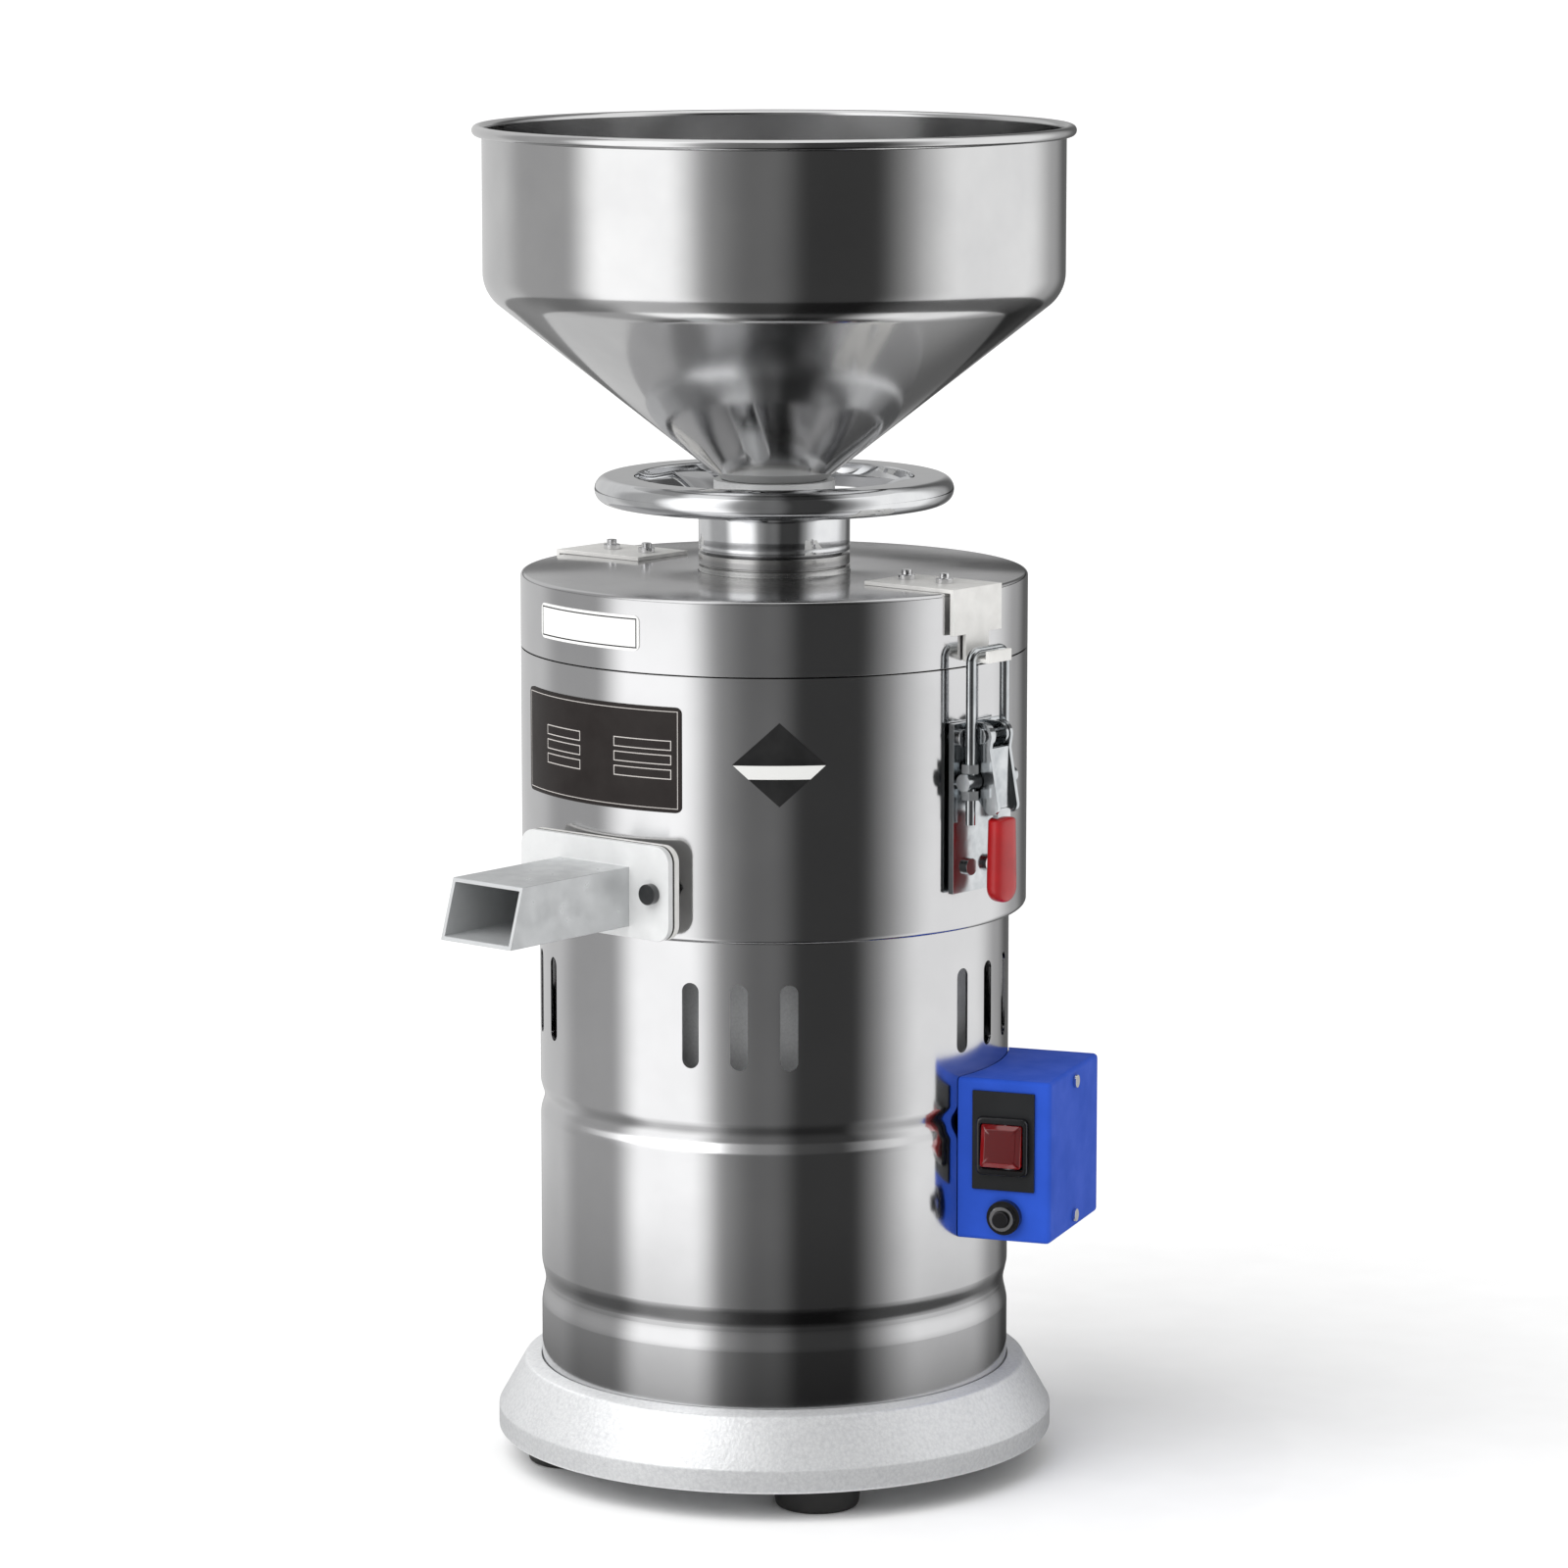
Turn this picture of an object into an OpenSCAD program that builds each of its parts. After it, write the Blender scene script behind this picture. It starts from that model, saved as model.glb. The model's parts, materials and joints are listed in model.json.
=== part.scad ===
// Upright stone mill for nut butter: a motor in a steel shell stands on a cast base,
// a grinding chamber with a side spout sits on the motor, and a lid held by two toggle
// clamps carries the gap-setting handwheel and the feed hopper.
// The shaft axis is Z, the underside of the feet is Z = 0 and the spout points along -Y.
// A bearing is an angle around the shaft counted from the spout towards +X.

/* [Base] */
// How much wider the top of the base cone is than the shell
base_step = 10.4; // [8:0.1:14]
// How much wider the foot of the base ring is than the top of its cone
base_flare = 11.6; // [6:0.2:24]
// Height of the upright rim of the base ring
base_rim_h = 11.5; // [6:0.5:18]
// Height of the cone above the rim
base_cone_h = 23.7; // [18:0.1:32]
// Rise of the ledge from the cone to the shell
base_ledge_h = 1.7; // [0.5:0.1:3]
// Wall of the base casting
base_wall = 8; // [5:0.5:10]
// Thickness of the floor that carries the motor
base_floor_t = 7; // [5:0.5:9]
// Depth of the seat that takes the shell
base_seat_depth = 4.4; // [2:0.1:6]
// Radius of the air inlet in the base floor
base_inlet_r = 42; // [30:1:50]
// Radius of a rubber foot
foot_r = 22; // [16:1:24]
// Height of a foot below the base ring
foot_h = 14.5; // [10:0.5:24]
// Distance of a foot inside the edge of the base ring
foot_inset = 12; // [12:0.5:20]
// Bearing of the first foot
foot_bearing = 51.5; // [30:0.5:60]
// Radius of the bench bolt hole through each foot
bench_hole_r = 3.3; // [2.7:0.1:4.3]

/* [Motor shell] */
// Outside radius of the motor shell
shell_r = 117; // [114:0.5:119]
// Thickness of every steel sheet of the body
sheet = 1.2; // [0.8:0.1:1.6]
// Height of the motor shell
shell_h = 236.2; // [225:0.1:260]
// Height of the lower bead above the bottom edge of the shell
bead_low_h = 43.3; // [30:0.1:50]
// Height of the upper bead above the bottom edge of the shell
bead_high_h = 137.6; // [125:0.1:142]
// Depth of a bead
bead_depth = 1.9; // [0.5:0.1:2.4]
// Half of the height of the lower bead
bead_low_half = 12; // [6:0.5:14]
// Half of the height of the upper bead
bead_high_half = 9; // [6:0.5:14]
// Width of an air slot
slot_w = 8.6; // [4:0.2:12]
// Height of an air slot
slot_h = 42; // [20:1:46]
// Distance of the slots below the top edge of the shell
slot_drop = 22.2; // [16:0.2:26]
// Bearing of the middle slot of the first group
slot_bearing = 31.7; // [20:0.1:40]
// Angle between the slots of a group
slot_step = 11.9; // [8:0.1:16]
// Number of groups of three slots
slot_groups = 5; // [3:1:6]

/* [Motor] */
// Space between the stator and the outside of the shell
stator_space = 39; // [37:1:45]
// Wall of the stator
stator_wall = 32; // [29:0.5:33]
// Height of the laminated stack
stack_h = 80; // [60:1:90]
// Height of the lower motor shield
shield_h = 58; // [54:1:64]
// Air gap between the rotor and the stator
air_gap = 0.5; // [0.4:0.1:1]
// Radius of the shaft in the motor
shaft_r = 12.5; // [11.5:0.1:13.5]
// Radius of the shaft in the lower bearing
journal_r = 10; // [8:0.5:11]
// Radius of the shaft in the stones
spindle_r = 11; // [10:0.1:11.2]
// Number of fan blades
fan_blades = 9; // [6:1:12]

/* [Grinding chamber] */
// How much wider the casing and the lid are than the shell
casing_step = 8.5; // [7:0.5:14]
// Height of the casing
casing_h = 129; // [124:1:150]
// Radius of the rolled bottom edge of the casing
casing_edge_r = 3; // [1.5:0.1:4]
// Height of the lid skirt
lid_h = 37; // [30:1:50]
// Space between the inside of the grinding bowl and the outside of the casing
bowl_space = 31.5; // [29:0.5:36]
// Wall of the grinding bowl
bowl_wall = 6; // [4:0.5:7]
// Thickness of the bowl floor
bowl_floor_t = 5; // [3:0.5:7]
// Space between the grinding stones and the bowl
stone_space = 19; // [14:1:34]
// Thickness of a grinding stone
stone_h = 18; // [12:0.5:20]
// Gap between the stones
stone_gap = 0.8; // [0.8:0.1:1.5]

/* [Spout] */
// Width of the spout tube
spout_w = 45; // [36:0.5:50]
// Height of the spout tube
spout_h = 29; // [24:0.5:34]
// Wall of the spout tube
spout_wall = 2; // [1.2:0.1:2.5]
// Reach of the spout beyond the casing at the top of its mouth
spout_reach = 84.5; // [50:0.5:110]
// How much further the lower lip of the mouth reaches
spout_slant = 9; // [0:0.5:15]
// Width of the bolted flange on each side of the tube
flange_side = 25; // [21:0.5:28]
// Height of the bolted flange above and below the tube
flange_over = 8.5; // [6:0.5:10]
// Corner radius of the flange
flange_corner_r = 8; // [3:0.5:12]
// Thickness of the flange and of the outlet plate
flange_t = 3.5; // [2:0.1:5]
// Thickness of the gasket between them
spout_gasket_t = 1.1; // [0.6:0.1:2]
// Distance of a flange bolt from the side of the tube
flange_bolt_side = 14.5; // [12:0.5:15]

/* [Handwheel] */
// Outside radius of the handwheel
wheel_r = 88.8; // [80:0.2:100]
// Width of the handwheel ring
wheel_rim_w = 19.8; // [16:0.2:24]
// Height of the handwheel ring
wheel_ring_h = 13.5; // [10:0.5:16]
// Gap between the top of the hub and the ring
wheel_lift = 2.7; // [1:0.1:8]
// Width of a wheel spoke
spoke_w = 20; // [10:1:26]
// Thickness of a wheel spoke
spoke_t = 4; // [3:0.5:5]
// Bearing of the first spoke
spoke_bearing = 20; // [0:1:60]
// Number of spokes
spokes = 3; // [3:1:5]
// Wall of the hub and the dial ring around the guide neck
hub_wall = 4.05; // [3:0.05:8]
// Height of the hub
hub_h = 20.6; // [16:0.2:26]
// Height of the graduated dial ring
dial_h = 6.5; // [4:0.1:9]
// Gap in which the hub travels above the dial ring
travel_gap = 1.2; // [1:0.1:3]

/* [Hopper] */
// Outside radius of the hopper wall
hopper_r = 143.1; // [120:0.1:160]
// Outside radius of the hopper neck
hopper_neck_r = 25.6; // [22:0.1:26]
// Angle of the hopper cone above the horizontal
cone_angle = 38.3; // [34:0.1:46]
// Radius of the bend between the cone and the wall
hopper_bend_r = 20; // [8:1:26]
// Height of the wall above the bend
hopper_wall_h = 69.2; // [40:0.2:110]
// Thickness of the hopper sheet
hopper_sheet = 1; // [0.8:0.1:1.5]
// Radius of the rolled rim
rim_r = 2.7; // [2:0.1:4]
// Length of the neck inside the feed tube
hopper_neck_h = 13; // [8:1:20]

/* [Lid clamps] */
// Width of a latch strap and a clamp base
strap_w = 38; // [32:1:44]
// Thickness of a latch strap
strap_t = 2; // [1.5:0.1:3]
// Space between the hook and both legs of the U bolt
hook_side = 3; // [2:0.5:5]
// Radius of the U bolt rod
rod_r = 2.5; // [2:0.1:2.6]
// Gap between a leg of the U bolt and the handle
rod_gap = 2; // [2:0.1:3]
// Drop of the U bolt bar below the top of the lid
bar_drop = 28.5; // [26:0.5:32]
// Height of the clamp pivot above the bottom edge of the casing
pivot_h = 97; // [90:0.5:100]
// Distance of the trunnion below the clamp pivot
trunnion_drop = 22; // [20:0.5:24]
// Length of a clamp grip
grip_h = 39.4; // [30:0.2:40]
// Width of a clamp grip
grip_w = 14; // [12:0.5:16]
// Thickness of a clamp grip
grip_t = 9; // [7.5:0.5:11]

/* [Control box] */
// Bearing of the control box
box_bearing = 110; // [100:1:120]
// Width of the control box
box_w = 80; // [70:1:86]
// Height of the control box
box_h = 80.5; // [76:0.5:90]
// Height of the box above the bottom edge of the shell
box_low = 80; // [74:1:84]
// Reach of the box beyond the shell
box_reach = 40.6; // [38:0.2:50]
// Wall of the control box
box_wall = 2.4; // [1.6:0.1:3]
// Radius of the upright edges of the box
box_edge_r = 3; // [1:0.5:5]
// Radius of the lower reset bush
reset_bush_r = 6; // [5.5:0.1:7]
// Swing of the rocker to either side of level
rocker_tilt = 7; // [4:0.5:8]

/* [Plates] */
// Width of the large blank plate, along the casing
plate_w = 111; // [60:1:112]
// Height of the large blank plate
plate_h = 51; // [30:1:52]
// Thickness of a plate or label
plate_t = 0.6; // [0.3:0.1:1]
// Width of the lid label
label_w = 72; // [40:1:76]
// Height of the lid label
label_h = 17; // [10:0.5:22]
// Side to side width of the diamond label
diamond_w = 45; // [30:1:46]

/* [Hidden] */
$fn = 96;

// Overrun of every cut, and the small steps that keep solids apart
cut = 1;
fit = 0.3;
run_fit = 0.05;
skin = 0.05;
seam = 0.6;
round_fn = 24;
arc_steps = 10;
bead_steps = 10;

// Radii that follow from the shell
stator_r = shell_r - stator_space;
stator_bore_r = stator_r - stator_wall;
casing_r = shell_r + casing_step;
bowl_r = casing_r - bowl_space;
stone_r = bowl_r - stone_space;
base_top_r = shell_r + base_step;
base_r = base_top_r + base_flare;
foot_ring_r = base_r - foot_r - foot_inset;

// Levels of the base
base_low_z = foot_h;
rim_z = base_low_z + base_rim_h;
cone_z = rim_z + base_cone_h;
base_top_z = cone_z + base_ledge_h;
seat_z = base_top_z - base_seat_depth;
boss_rim = 3;
foot_neck_r = 9;
foot_neck_h = 8;
foot_thread_h = 14;
foot_chamfer = 1.5;
foot_taper = 1.5;
hex_fn = 6;

// Levels of the shell, the motor and the chamber
shell_top_z = seat_z + shell_h;
casing_low_z = shell_top_z - sheet;
casing_top_z = casing_low_z + casing_h;
lid_low_z = casing_top_z + seam;
lid_top_z = casing_top_z + lid_h;
lid_plate_z = lid_top_z - sheet;
lid_edge_r = 2;
stack_low_z = seat_z + shield_h;
stack_top_z = stack_low_z + stack_h;
housing_flange_t = 4;
bowl_low_z = shell_top_z + housing_flange_t;
bowl_floor_z = bowl_low_z + bowl_floor_t;
bowl_top_drop = 7;
bowl_top_z = casing_top_z - bowl_top_drop;
bowl_rim_t = 6;
lid_ring_inset = 1;
lid_ring_r = bowl_r - lid_ring_inset;
cap_plate_t = 6;
cap_plate_z = lid_plate_z - cap_plate_t;
lid_gasket_t = 3;
cap_low_z = bowl_top_z + lid_gasket_t;

// Motor parts
flange_out_r = casing_r - sheet - fit;
housing_flange_r = casing_r - casing_edge_r - fit;
motor_wall = 7.2;
tie_space = 12.8;
motor_in_r = stator_r + tie_space;
motor_rim_r = motor_in_r + motor_wall;
rim_pad_h = 6;
winding_h = 18;
winding_wall = 20;
pad_lap = 4;
plate_low_t = 6;
boss_wall = 6;
bearing_wall = 13.5;
lower_bearing_w = 14;
lower_bearing_r = journal_r + bearing_wall;
upper_bearing_w = 15;
upper_bearing_r = shaft_r + bearing_wall;
vent_r = 5;
vent_ring_r = (lower_bearing_r + boss_wall + base_inlet_r) / 2;
race_groove = 1;
race_wall = 3.5;
cover_t = 5;
seal_w = 7;
seal_wall = 8;
seal_r = shaft_r + seal_wall;
seal_lip = 1.5;
upper_bearing_z = bowl_low_z - cover_t - seal_w - upper_bearing_w;
lower_bearing_z = seat_z + plate_low_t;
shaft_low_gap = 1;
journal_top_gap = 2;
fan_hub_wall = 8;
fan_hub_r = shaft_r + fan_hub_wall;
fan_plate_t = 2;
fan_h = 11;
fan_blade_t = 2;
fan_inset = 12;
fan_r = stator_r - fan_inset;
fan_gap = 4;
fan_z = lower_bearing_z + lower_bearing_w + fan_gap;
rotor_ring_h = 8;
rotor_ring_share = 0.47;
rotor_ring_w = (stator_bore_r - air_gap - shaft_r) * rotor_ring_share;
rotor_ring_inset = 4;
tie_r = 3;
tie_head_r = 5;
tie_head_h = 4;
tie_ring_r = (stator_r + motor_in_r) / 2;
tie_count = 4;
slot_teeth = 24;
tooth_slot_w = 5;
tooth_slot_depth = 14;
coil_inset = 1;

// Chamber parts
carrier_rise = 46;
carrier_t = 12;
carrier_r = stone_r - fit;
carrier_z = bowl_floor_z + carrier_rise;
carrier_hub_wall = 12;
carrier_hub_r = spindle_r + carrier_hub_wall;
paddle_t = 6;
paddle_count = 4;
paddle_gap = 4;
paddle_out_r = bowl_r - paddle_gap;
paddle_rise = 2;
paddle_z = bowl_floor_z + paddle_rise;
collar_in_r = shaft_r + seal_lip;
collar_wall = 4;
collar_out_r = collar_in_r + collar_wall;
collar_h = 12;
hub_gap = 2;
carrier_hub_z = bowl_floor_z + collar_h + hub_gap;
lower_stone_z = carrier_z + carrier_t;
grind_z = lower_stone_z + stone_h;
upper_stone_z = grind_z + stone_gap;
feed_flange_z = upper_stone_z + stone_h;
feed_flange_t = 10;
feed_flange_inset = 4;
feed_flange_r = stone_r - feed_flange_inset;
dish_share = 0.5;
dish_depth = 5;
furrow_w = 4;
furrow_depth = 2;
furrows = 12;
nut_r = 17;
nut_h = 10;
nut_dome_h = 5;
nut_flat = 27;

// Neck, feed tube, dial and hub
hopper_neck_gap = 0.5;
feed_in_r = hopper_neck_r + hopper_neck_gap;
feed_wall = 3.9;
feed_out_r = feed_in_r + feed_wall;
stone_bolt_r = 3;
stone_bolt_ring_r = (feed_out_r + feed_flange_r) / 2;
stone_bolt_count = 4;
stone_bolt_grip = 8;
stone_bolt_l = 7;
stone_bolt_flat = 10;
stone_bolt_head_h = 4.2;
neck_in_r = feed_out_r + run_fit;
neck_wall = 3.4;
neck_out_r = neck_in_r + neck_wall;
hub_r = neck_out_r + hub_wall;
wheel_in_r = wheel_r - wheel_rim_w;
stub_h = 2.7;
stub_z = lid_top_z + stub_h;
groove_h = 0.6;
groove_depth = 2;
dial_z = stub_z;
dial_top_z = dial_z + dial_h;
dial_marks = 60;
dial_mark_w = 0.5;
dial_mark_depth = 0.4;
dial_mark_h = dial_h - groove_h - 2 * dial_mark_w;
hub_z = dial_top_z + travel_gap;
hub_top_z = hub_z + hub_h;
hub_web_t = 7;
hub_line_h = 3;
hub_line_depth = 0.4;
web_z = hub_top_z - hub_web_t;
shoulder_h = 1.6;
shoulder_w = 2;
shoulder_r = feed_out_r + shoulder_w;
end_play = 0.2;
shoulder_gap = 2.2;
neck_top_z = web_z - end_play - shoulder_h - shoulder_gap;
ring_t = 1.6;
ring_bite = 1.2;
ring_w = 2.2;
ring_r = feed_out_r + ring_w;
ring_slit_w = 5;
feed_proud = 14.1;
feed_top_z = hub_top_z + feed_proud;
key_w = 6;
key_depth = 1.7;
key_slot_depth = 2;
key_h = 8;
key_low_z = lid_plate_z - key_h;
collar_drop = 3;
key_travel = 4;
wheel_z = hub_top_z + wheel_lift;
wheel_top_z = wheel_z + wheel_ring_h;
wheel_edge = 0.4;

// Hopper outline
hopper_z = feed_top_z + fit / cos(cone_angle) - hopper_neck_gap * tan(cone_angle);
bend_r = hopper_r - hopper_bend_r;
bend_z = hopper_z + (bend_r - hopper_neck_r) * tan(cone_angle) + hopper_bend_r / cos(cone_angle);
rim_z_top = bend_z + hopper_wall_h;

// Spout
plate_standoff = 1.4;
outlet_y = casing_r + plate_standoff;
outlet_front_y = outlet_y + flange_t;
gasket_front_y = outlet_front_y + spout_gasket_t;
flange_front_y = gasket_front_y + flange_t;
duct_wall = 5;
outlet_w = spout_w - 2 * spout_wall;
flange_w = spout_w + 2 * flange_side;
flange_h = spout_h + 2 * flange_over;
flange_bolt_x = spout_w / 2 + flange_bolt_side;
outlet_h = spout_h - 2 * spout_wall;
outlet_z = bowl_floor_z;
spout_z = outlet_z - spout_wall;
flange_rise = 3;
flange_z = spout_z - flange_over + flange_rise;
flange_mid_z = flange_z + flange_h / 2;
flange_bolt_r = 3;
flange_head_r = 5;
flange_head_h = 4;
flange_nut_h = 3;
flange_nut_flat = 9;
flange_bolt_tail = 2;

// Lid clamps: x is the distance from the shaft axis
leg_gap = 0.5;
bend_x = casing_r + leg_gap;
leg_x = bend_x + strap_t;
strap_l = 53;
strap_in_x = bend_x - strap_l;
strap_bolt_share = [0.21, 0.65];
strap_neck_h = 8;
bar_z = lid_top_z - bar_drop;
plate_clear = 0.3;
clamp_plate_t = 3;
clamp_face_x = casing_r + plate_clear + clamp_plate_t;
trunnion_lift = 5.7;
trunnion_x = clamp_face_x + trunnion_lift;
pivot_z = casing_low_z + pivot_h;
over_centre = 2.5;
pivot_x = trunnion_x + over_centre;
trunnion_z = pivot_z - trunnion_drop;
hook_gap = 5.5;
hook_lip_x = trunnion_x + hook_gap;
hook_lip_h = 0.8;
hook_seat_gap = 0.45;
hook_z = bar_z - rod_r - hook_seat_gap;
clamp_base_low = 20;
clamp_low_z = casing_low_z + clamp_base_low;
ear_r = 6;
clamp_top_z = pivot_z + ear_r;
ear_t = 2;
ear_y = 4.2;
cheek_t = 2;
cheek_y = 6.5;
pin_r = 2.5;
pin_head_r = 4;
pin_head_t = 1.1;
head_gap = 0.2;
cheek_pivot_r = 6.5;
cheek_trunnion_r = 5.3;
cheek_arm_r = 4.2;
trunnion_r = 3;
barrel_r = 4.2;
barrel_gap = 0.7;
rod_span = 2 * (cheek_y + cheek_t + rod_gap + rod_r);
hook_w = rod_span - 2 * rod_r - hook_side;
barrel_y = cheek_y + cheek_t + barrel_gap;
barrel_end_wall = 3.5;
barrel_end_y = rod_span / 2 + rod_r + barrel_end_wall;
rod_bend_r = 5;
rod_tail = 21;
rod_nut_h = 4.5;
rod_nut_flat = 8;
arm_lift = 14.7;
arm_x = clamp_face_x + arm_lift;
grip_drop = 40;
grip_top_z = pivot_z - grip_drop;
grip_low_z = grip_top_z - grip_h;
arm_neck = 6;
arm_z = grip_top_z + arm_neck;
web_r = 1.2;
tongue_r = 1.5;
tongue_w = 10;
grip_round_r = 3.5;
screw_r = 2.5;
screw_head_r = 4.2;
screw_head_h = 2.4;
clamp_screw_y = 7.5;
clamp_screw_low = 12.3;
clamp_top_screw_y = 14;
clamp_top_screw_drop = 7;
clamp_nut_h = 3.5;
clamp_nut_inset = 3;
clamp_nut_x = casing_r - clamp_nut_inset;
clamp_screw_tail = 7.5;

// Control box: x is the distance from the shaft axis, y runs with the bearing
box_x = shell_r + box_reach;
box_z = seat_z + box_low;
box_top_z = box_z + box_h;
box_side = box_w / 2;
box_wrap = 20;
box_back_x = shell_r - box_wrap;
switch_share = 0.4163;
switch_x = shell_r + box_reach * switch_share;
switch_plate_w = 31.7;
switch_plate_rise = 25.65;
switch_plate_drop = 5.75;
switch_plate_h = box_h - switch_plate_rise - switch_plate_drop;
switch_plate_t = 1.5;
switch_plate_lift = 2.2;
switch_z = box_z + switch_plate_rise + switch_plate_h / 2 - switch_plate_lift;
frame_w = 26.3;
frame_share = 0.5906;
frame_h = switch_plate_h * frame_share;
frame_t = 3;
frame_wall = 2.6;
frame_depth = 22;
frame_back_t = 2;
rocker_w = 20.5;
rocker_share = 0.4277;
rocker_h = switch_plate_h * rocker_share;
rocker_proud = 3.2;
rocker_back = 6;
rocker_axis_in = 0.5;
rocker_axis_y = box_side + switch_plate_t - rocker_axis_in;
rocker_pin_r = 1.5;
rocker_pin_l = 1.6;
reset_rise = 12.6;
reset_z = box_z + reset_rise;
reset_shift = 1;
reset_x = switch_x + reset_shift;
reset_nut_r = 8.5;
reset_nut_t = 4;
reset_proud = 7;
reset_body_w = 14;
reset_body_l = 22;
button_r = 4;
button_proud = 2.6;
button_travel = 2;
gland_share = 0.545;
gland_x = shell_r + box_reach * gland_share;
gland_rise = 15;
gland_z = box_z + gland_rise;
gland_r = 8;
gland_nut_r = 11;
gland_nut_h = 6;
gland_dome_h = 10;
gland_bore_r = 4.5;
gland_flange_t = 3;
box_screw_inset = 6.5;
box_screw_r = 1.7;
box_screw_head_r = 3.2;
box_screw_head_h = 1.6;
box_screw_l = 7.4;
bracket_w = 14;
bracket_t = 2;
bracket_inset = 0.3;
bracket_tab_h = 12;
capacitor_gap = 0.2;
capacitor_r = (box_side - box_wall - bracket_w / 2 - 3 * capacitor_gap) / 2;
capacitor_rise = 4;
capacitor_z = gland_z + gland_nut_r + capacitor_rise;

// Plates and labels
plate_r = casing_r + skin;
plate_corner_r = 3;
plate_drop = 15;
plate_low_z = casing_top_z - plate_drop - plate_h;
plate_bearing = -5.8;
label_drop = 26;
label_low_z = lid_top_z - label_drop;
label_bearing = -7.2;
diamond_bearing = 41.2;
diamond_h_share = 0.9;
diamond_drop = 41.4;
diamond_z = casing_top_z - diamond_drop;

// A child drawn along +X is turned to a bearing counted from the spout
module facing(bearing) {
    rotate([0, 0, bearing - 90])
        children();
}

// A round bar or disc between two levels
module disc(r, low, high) {
    translate([0, 0, low])
        cylinder(h = high - low, r = r);
}

// A round tube between two levels
module tube(outer_r, inner_r, low, high) {
    difference() {
        disc(outer_r, low, high);
        disc(inner_r, low - cut, high + cut);
    }
}

// A hexagon between two levels, with flats across Y
module hexagon(flat, low, high) {
    translate([0, 0, low])
        cylinder(h = high - low, r = flat / 2 / cos(30), $fn = hex_fn);
}

// A rectangle with true round corners, centred
module rounded(w, h, r) {
    square([w - 2 * r, h], center = true);
    square([w, h - 2 * r], center = true);
    for (x = [-1, 1], y = [-1, 1])
        translate([x * (w / 2 - r), y * (h / 2 - r)])
            circle(r = r);
}

// A flat link between two points, round at both ends
module link(a, b, ra, rb) {
    along = (b - a) / norm(b - a);
    across = [-along[1], along[0]];
    polygon([a + across * ra, b + across * rb, b - across * rb, a - across * ra]);
    translate(a)
        circle(r = ra);
    translate(b)
        circle(r = rb);
}

// An X-Z outline made into a plate between two Y values
module upright(y_low, y_high) {
    translate([0, y_high, 0])
        rotate([90, 0, 0])
            linear_extrude(y_high - y_low)
                children();
}

// A cylinder along X, and one along Y
module along_x(r, low, high) {
    translate([low, 0, 0])
        rotate([0, 90, 0])
            cylinder(h = high - low, r = r);
}

module along_y(r, low, high) {
    translate([0, high, 0])
        rotate([90, 0, 0])
            cylinder(h = high - low, r = r);
}

// Both sides of the machine, with the second clamp opposite the first
module each_side() {
    for (bearing = [90, -90])
        facing(bearing)
            children();
}

// Base ring: a cast cone with a floor for the motor and four foot bosses
module base_ring() {
    color("gainsboro")
    difference() {
        union() {
            rotate_extrude()
                polygon([
                    [base_r - base_wall, base_low_z],
                    [base_r, base_low_z],
                    [base_r, rim_z],
                    [base_top_r, cone_z],
                    [shell_r + fit, base_top_z],
                    [shell_r + fit, seat_z],
                    [base_inlet_r, seat_z],
                    [base_inlet_r, seat_z - base_floor_t],
                    [base_top_r - base_wall, seat_z - base_floor_t],
                    [base_r - base_wall, rim_z]
                ]);
            for (i = [0:3])
                facing(foot_bearing + i * 90)
                    translate([foot_ring_r, 0, 0])
                        disc(foot_r + boss_rim, base_low_z, seat_z - base_floor_t + skin);
        }
        for (i = [0:3])
            facing(foot_bearing + i * 90)
                translate([foot_ring_r, 0, 0]) {
                    disc(foot_neck_r + skin, base_low_z - cut, base_low_z + foot_neck_h);
                    disc(bench_hole_r, base_low_z - cut, base_low_z + foot_neck_h + foot_thread_h);
                }
    }
}

// Rubber feet: tapered pads whose necks are pressed into the bosses, bored for bench bolts
module feet() {
    color("dimgray")
    for (i = [0:3])
        facing(foot_bearing + i * 90)
            translate([foot_ring_r, 0, 0])
                rotate_extrude()
                    polygon([
                        [bench_hole_r, 0],
                        [foot_r - foot_taper - foot_chamfer, 0],
                        [foot_r - foot_taper, foot_chamfer],
                        [foot_r, base_low_z],
                        [foot_neck_r, base_low_z],
                        [foot_neck_r, base_low_z + foot_neck_h],
                        [bench_hole_r, base_low_z + foot_neck_h]
                    ]);
}

// Radius of the shell at a height above its bottom edge, drawn in at the two beads
function bead(h, middle, half) =
    abs(h - middle) < half ? bead_depth * (1 + cos(180 * (h - middle) / half)) / 2 : 0;
function shell_radius(h) =
    shell_r - bead(h, bead_low_h, bead_low_half) - bead(h, bead_high_h, bead_high_half);
bead_heights = concat(
    [0],
    [for (i = [-bead_steps:bead_steps]) bead_low_h + bead_low_half * i / bead_steps],
    [for (i = [-bead_steps:bead_steps]) bead_high_h + bead_high_half * i / bead_steps],
    [shell_h]
);

module motor_shell() {
    color("silver")
    difference() {
        translate([0, 0, seat_z])
            rotate_extrude()
                polygon(concat(
                    [for (h = bead_heights) [shell_radius(h), h]],
                    [for (i = [len(bead_heights) - 1:-1:0])
                        [shell_radius(bead_heights[i]) - sheet, bead_heights[i]]]
                ));
        for (i = [0:slot_groups - 1], k = [-1:1])
            facing(slot_bearing + i * 360 / slot_groups + k * slot_step)
                air_slot();
    }
}

module air_slot() {
    reach = shell_r + cut;
    low = shell_top_z - slot_drop - slot_h + slot_w / 2;
    high = shell_top_z - slot_drop - slot_w / 2;
    translate([shell_r / 2, -slot_w / 2, low])
        cube([reach - shell_r / 2, slot_w, high - low]);
    for (z = [low, high])
        translate([0, 0, z])
            along_x(slot_w / 2, shell_r / 2, reach);
}

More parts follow.
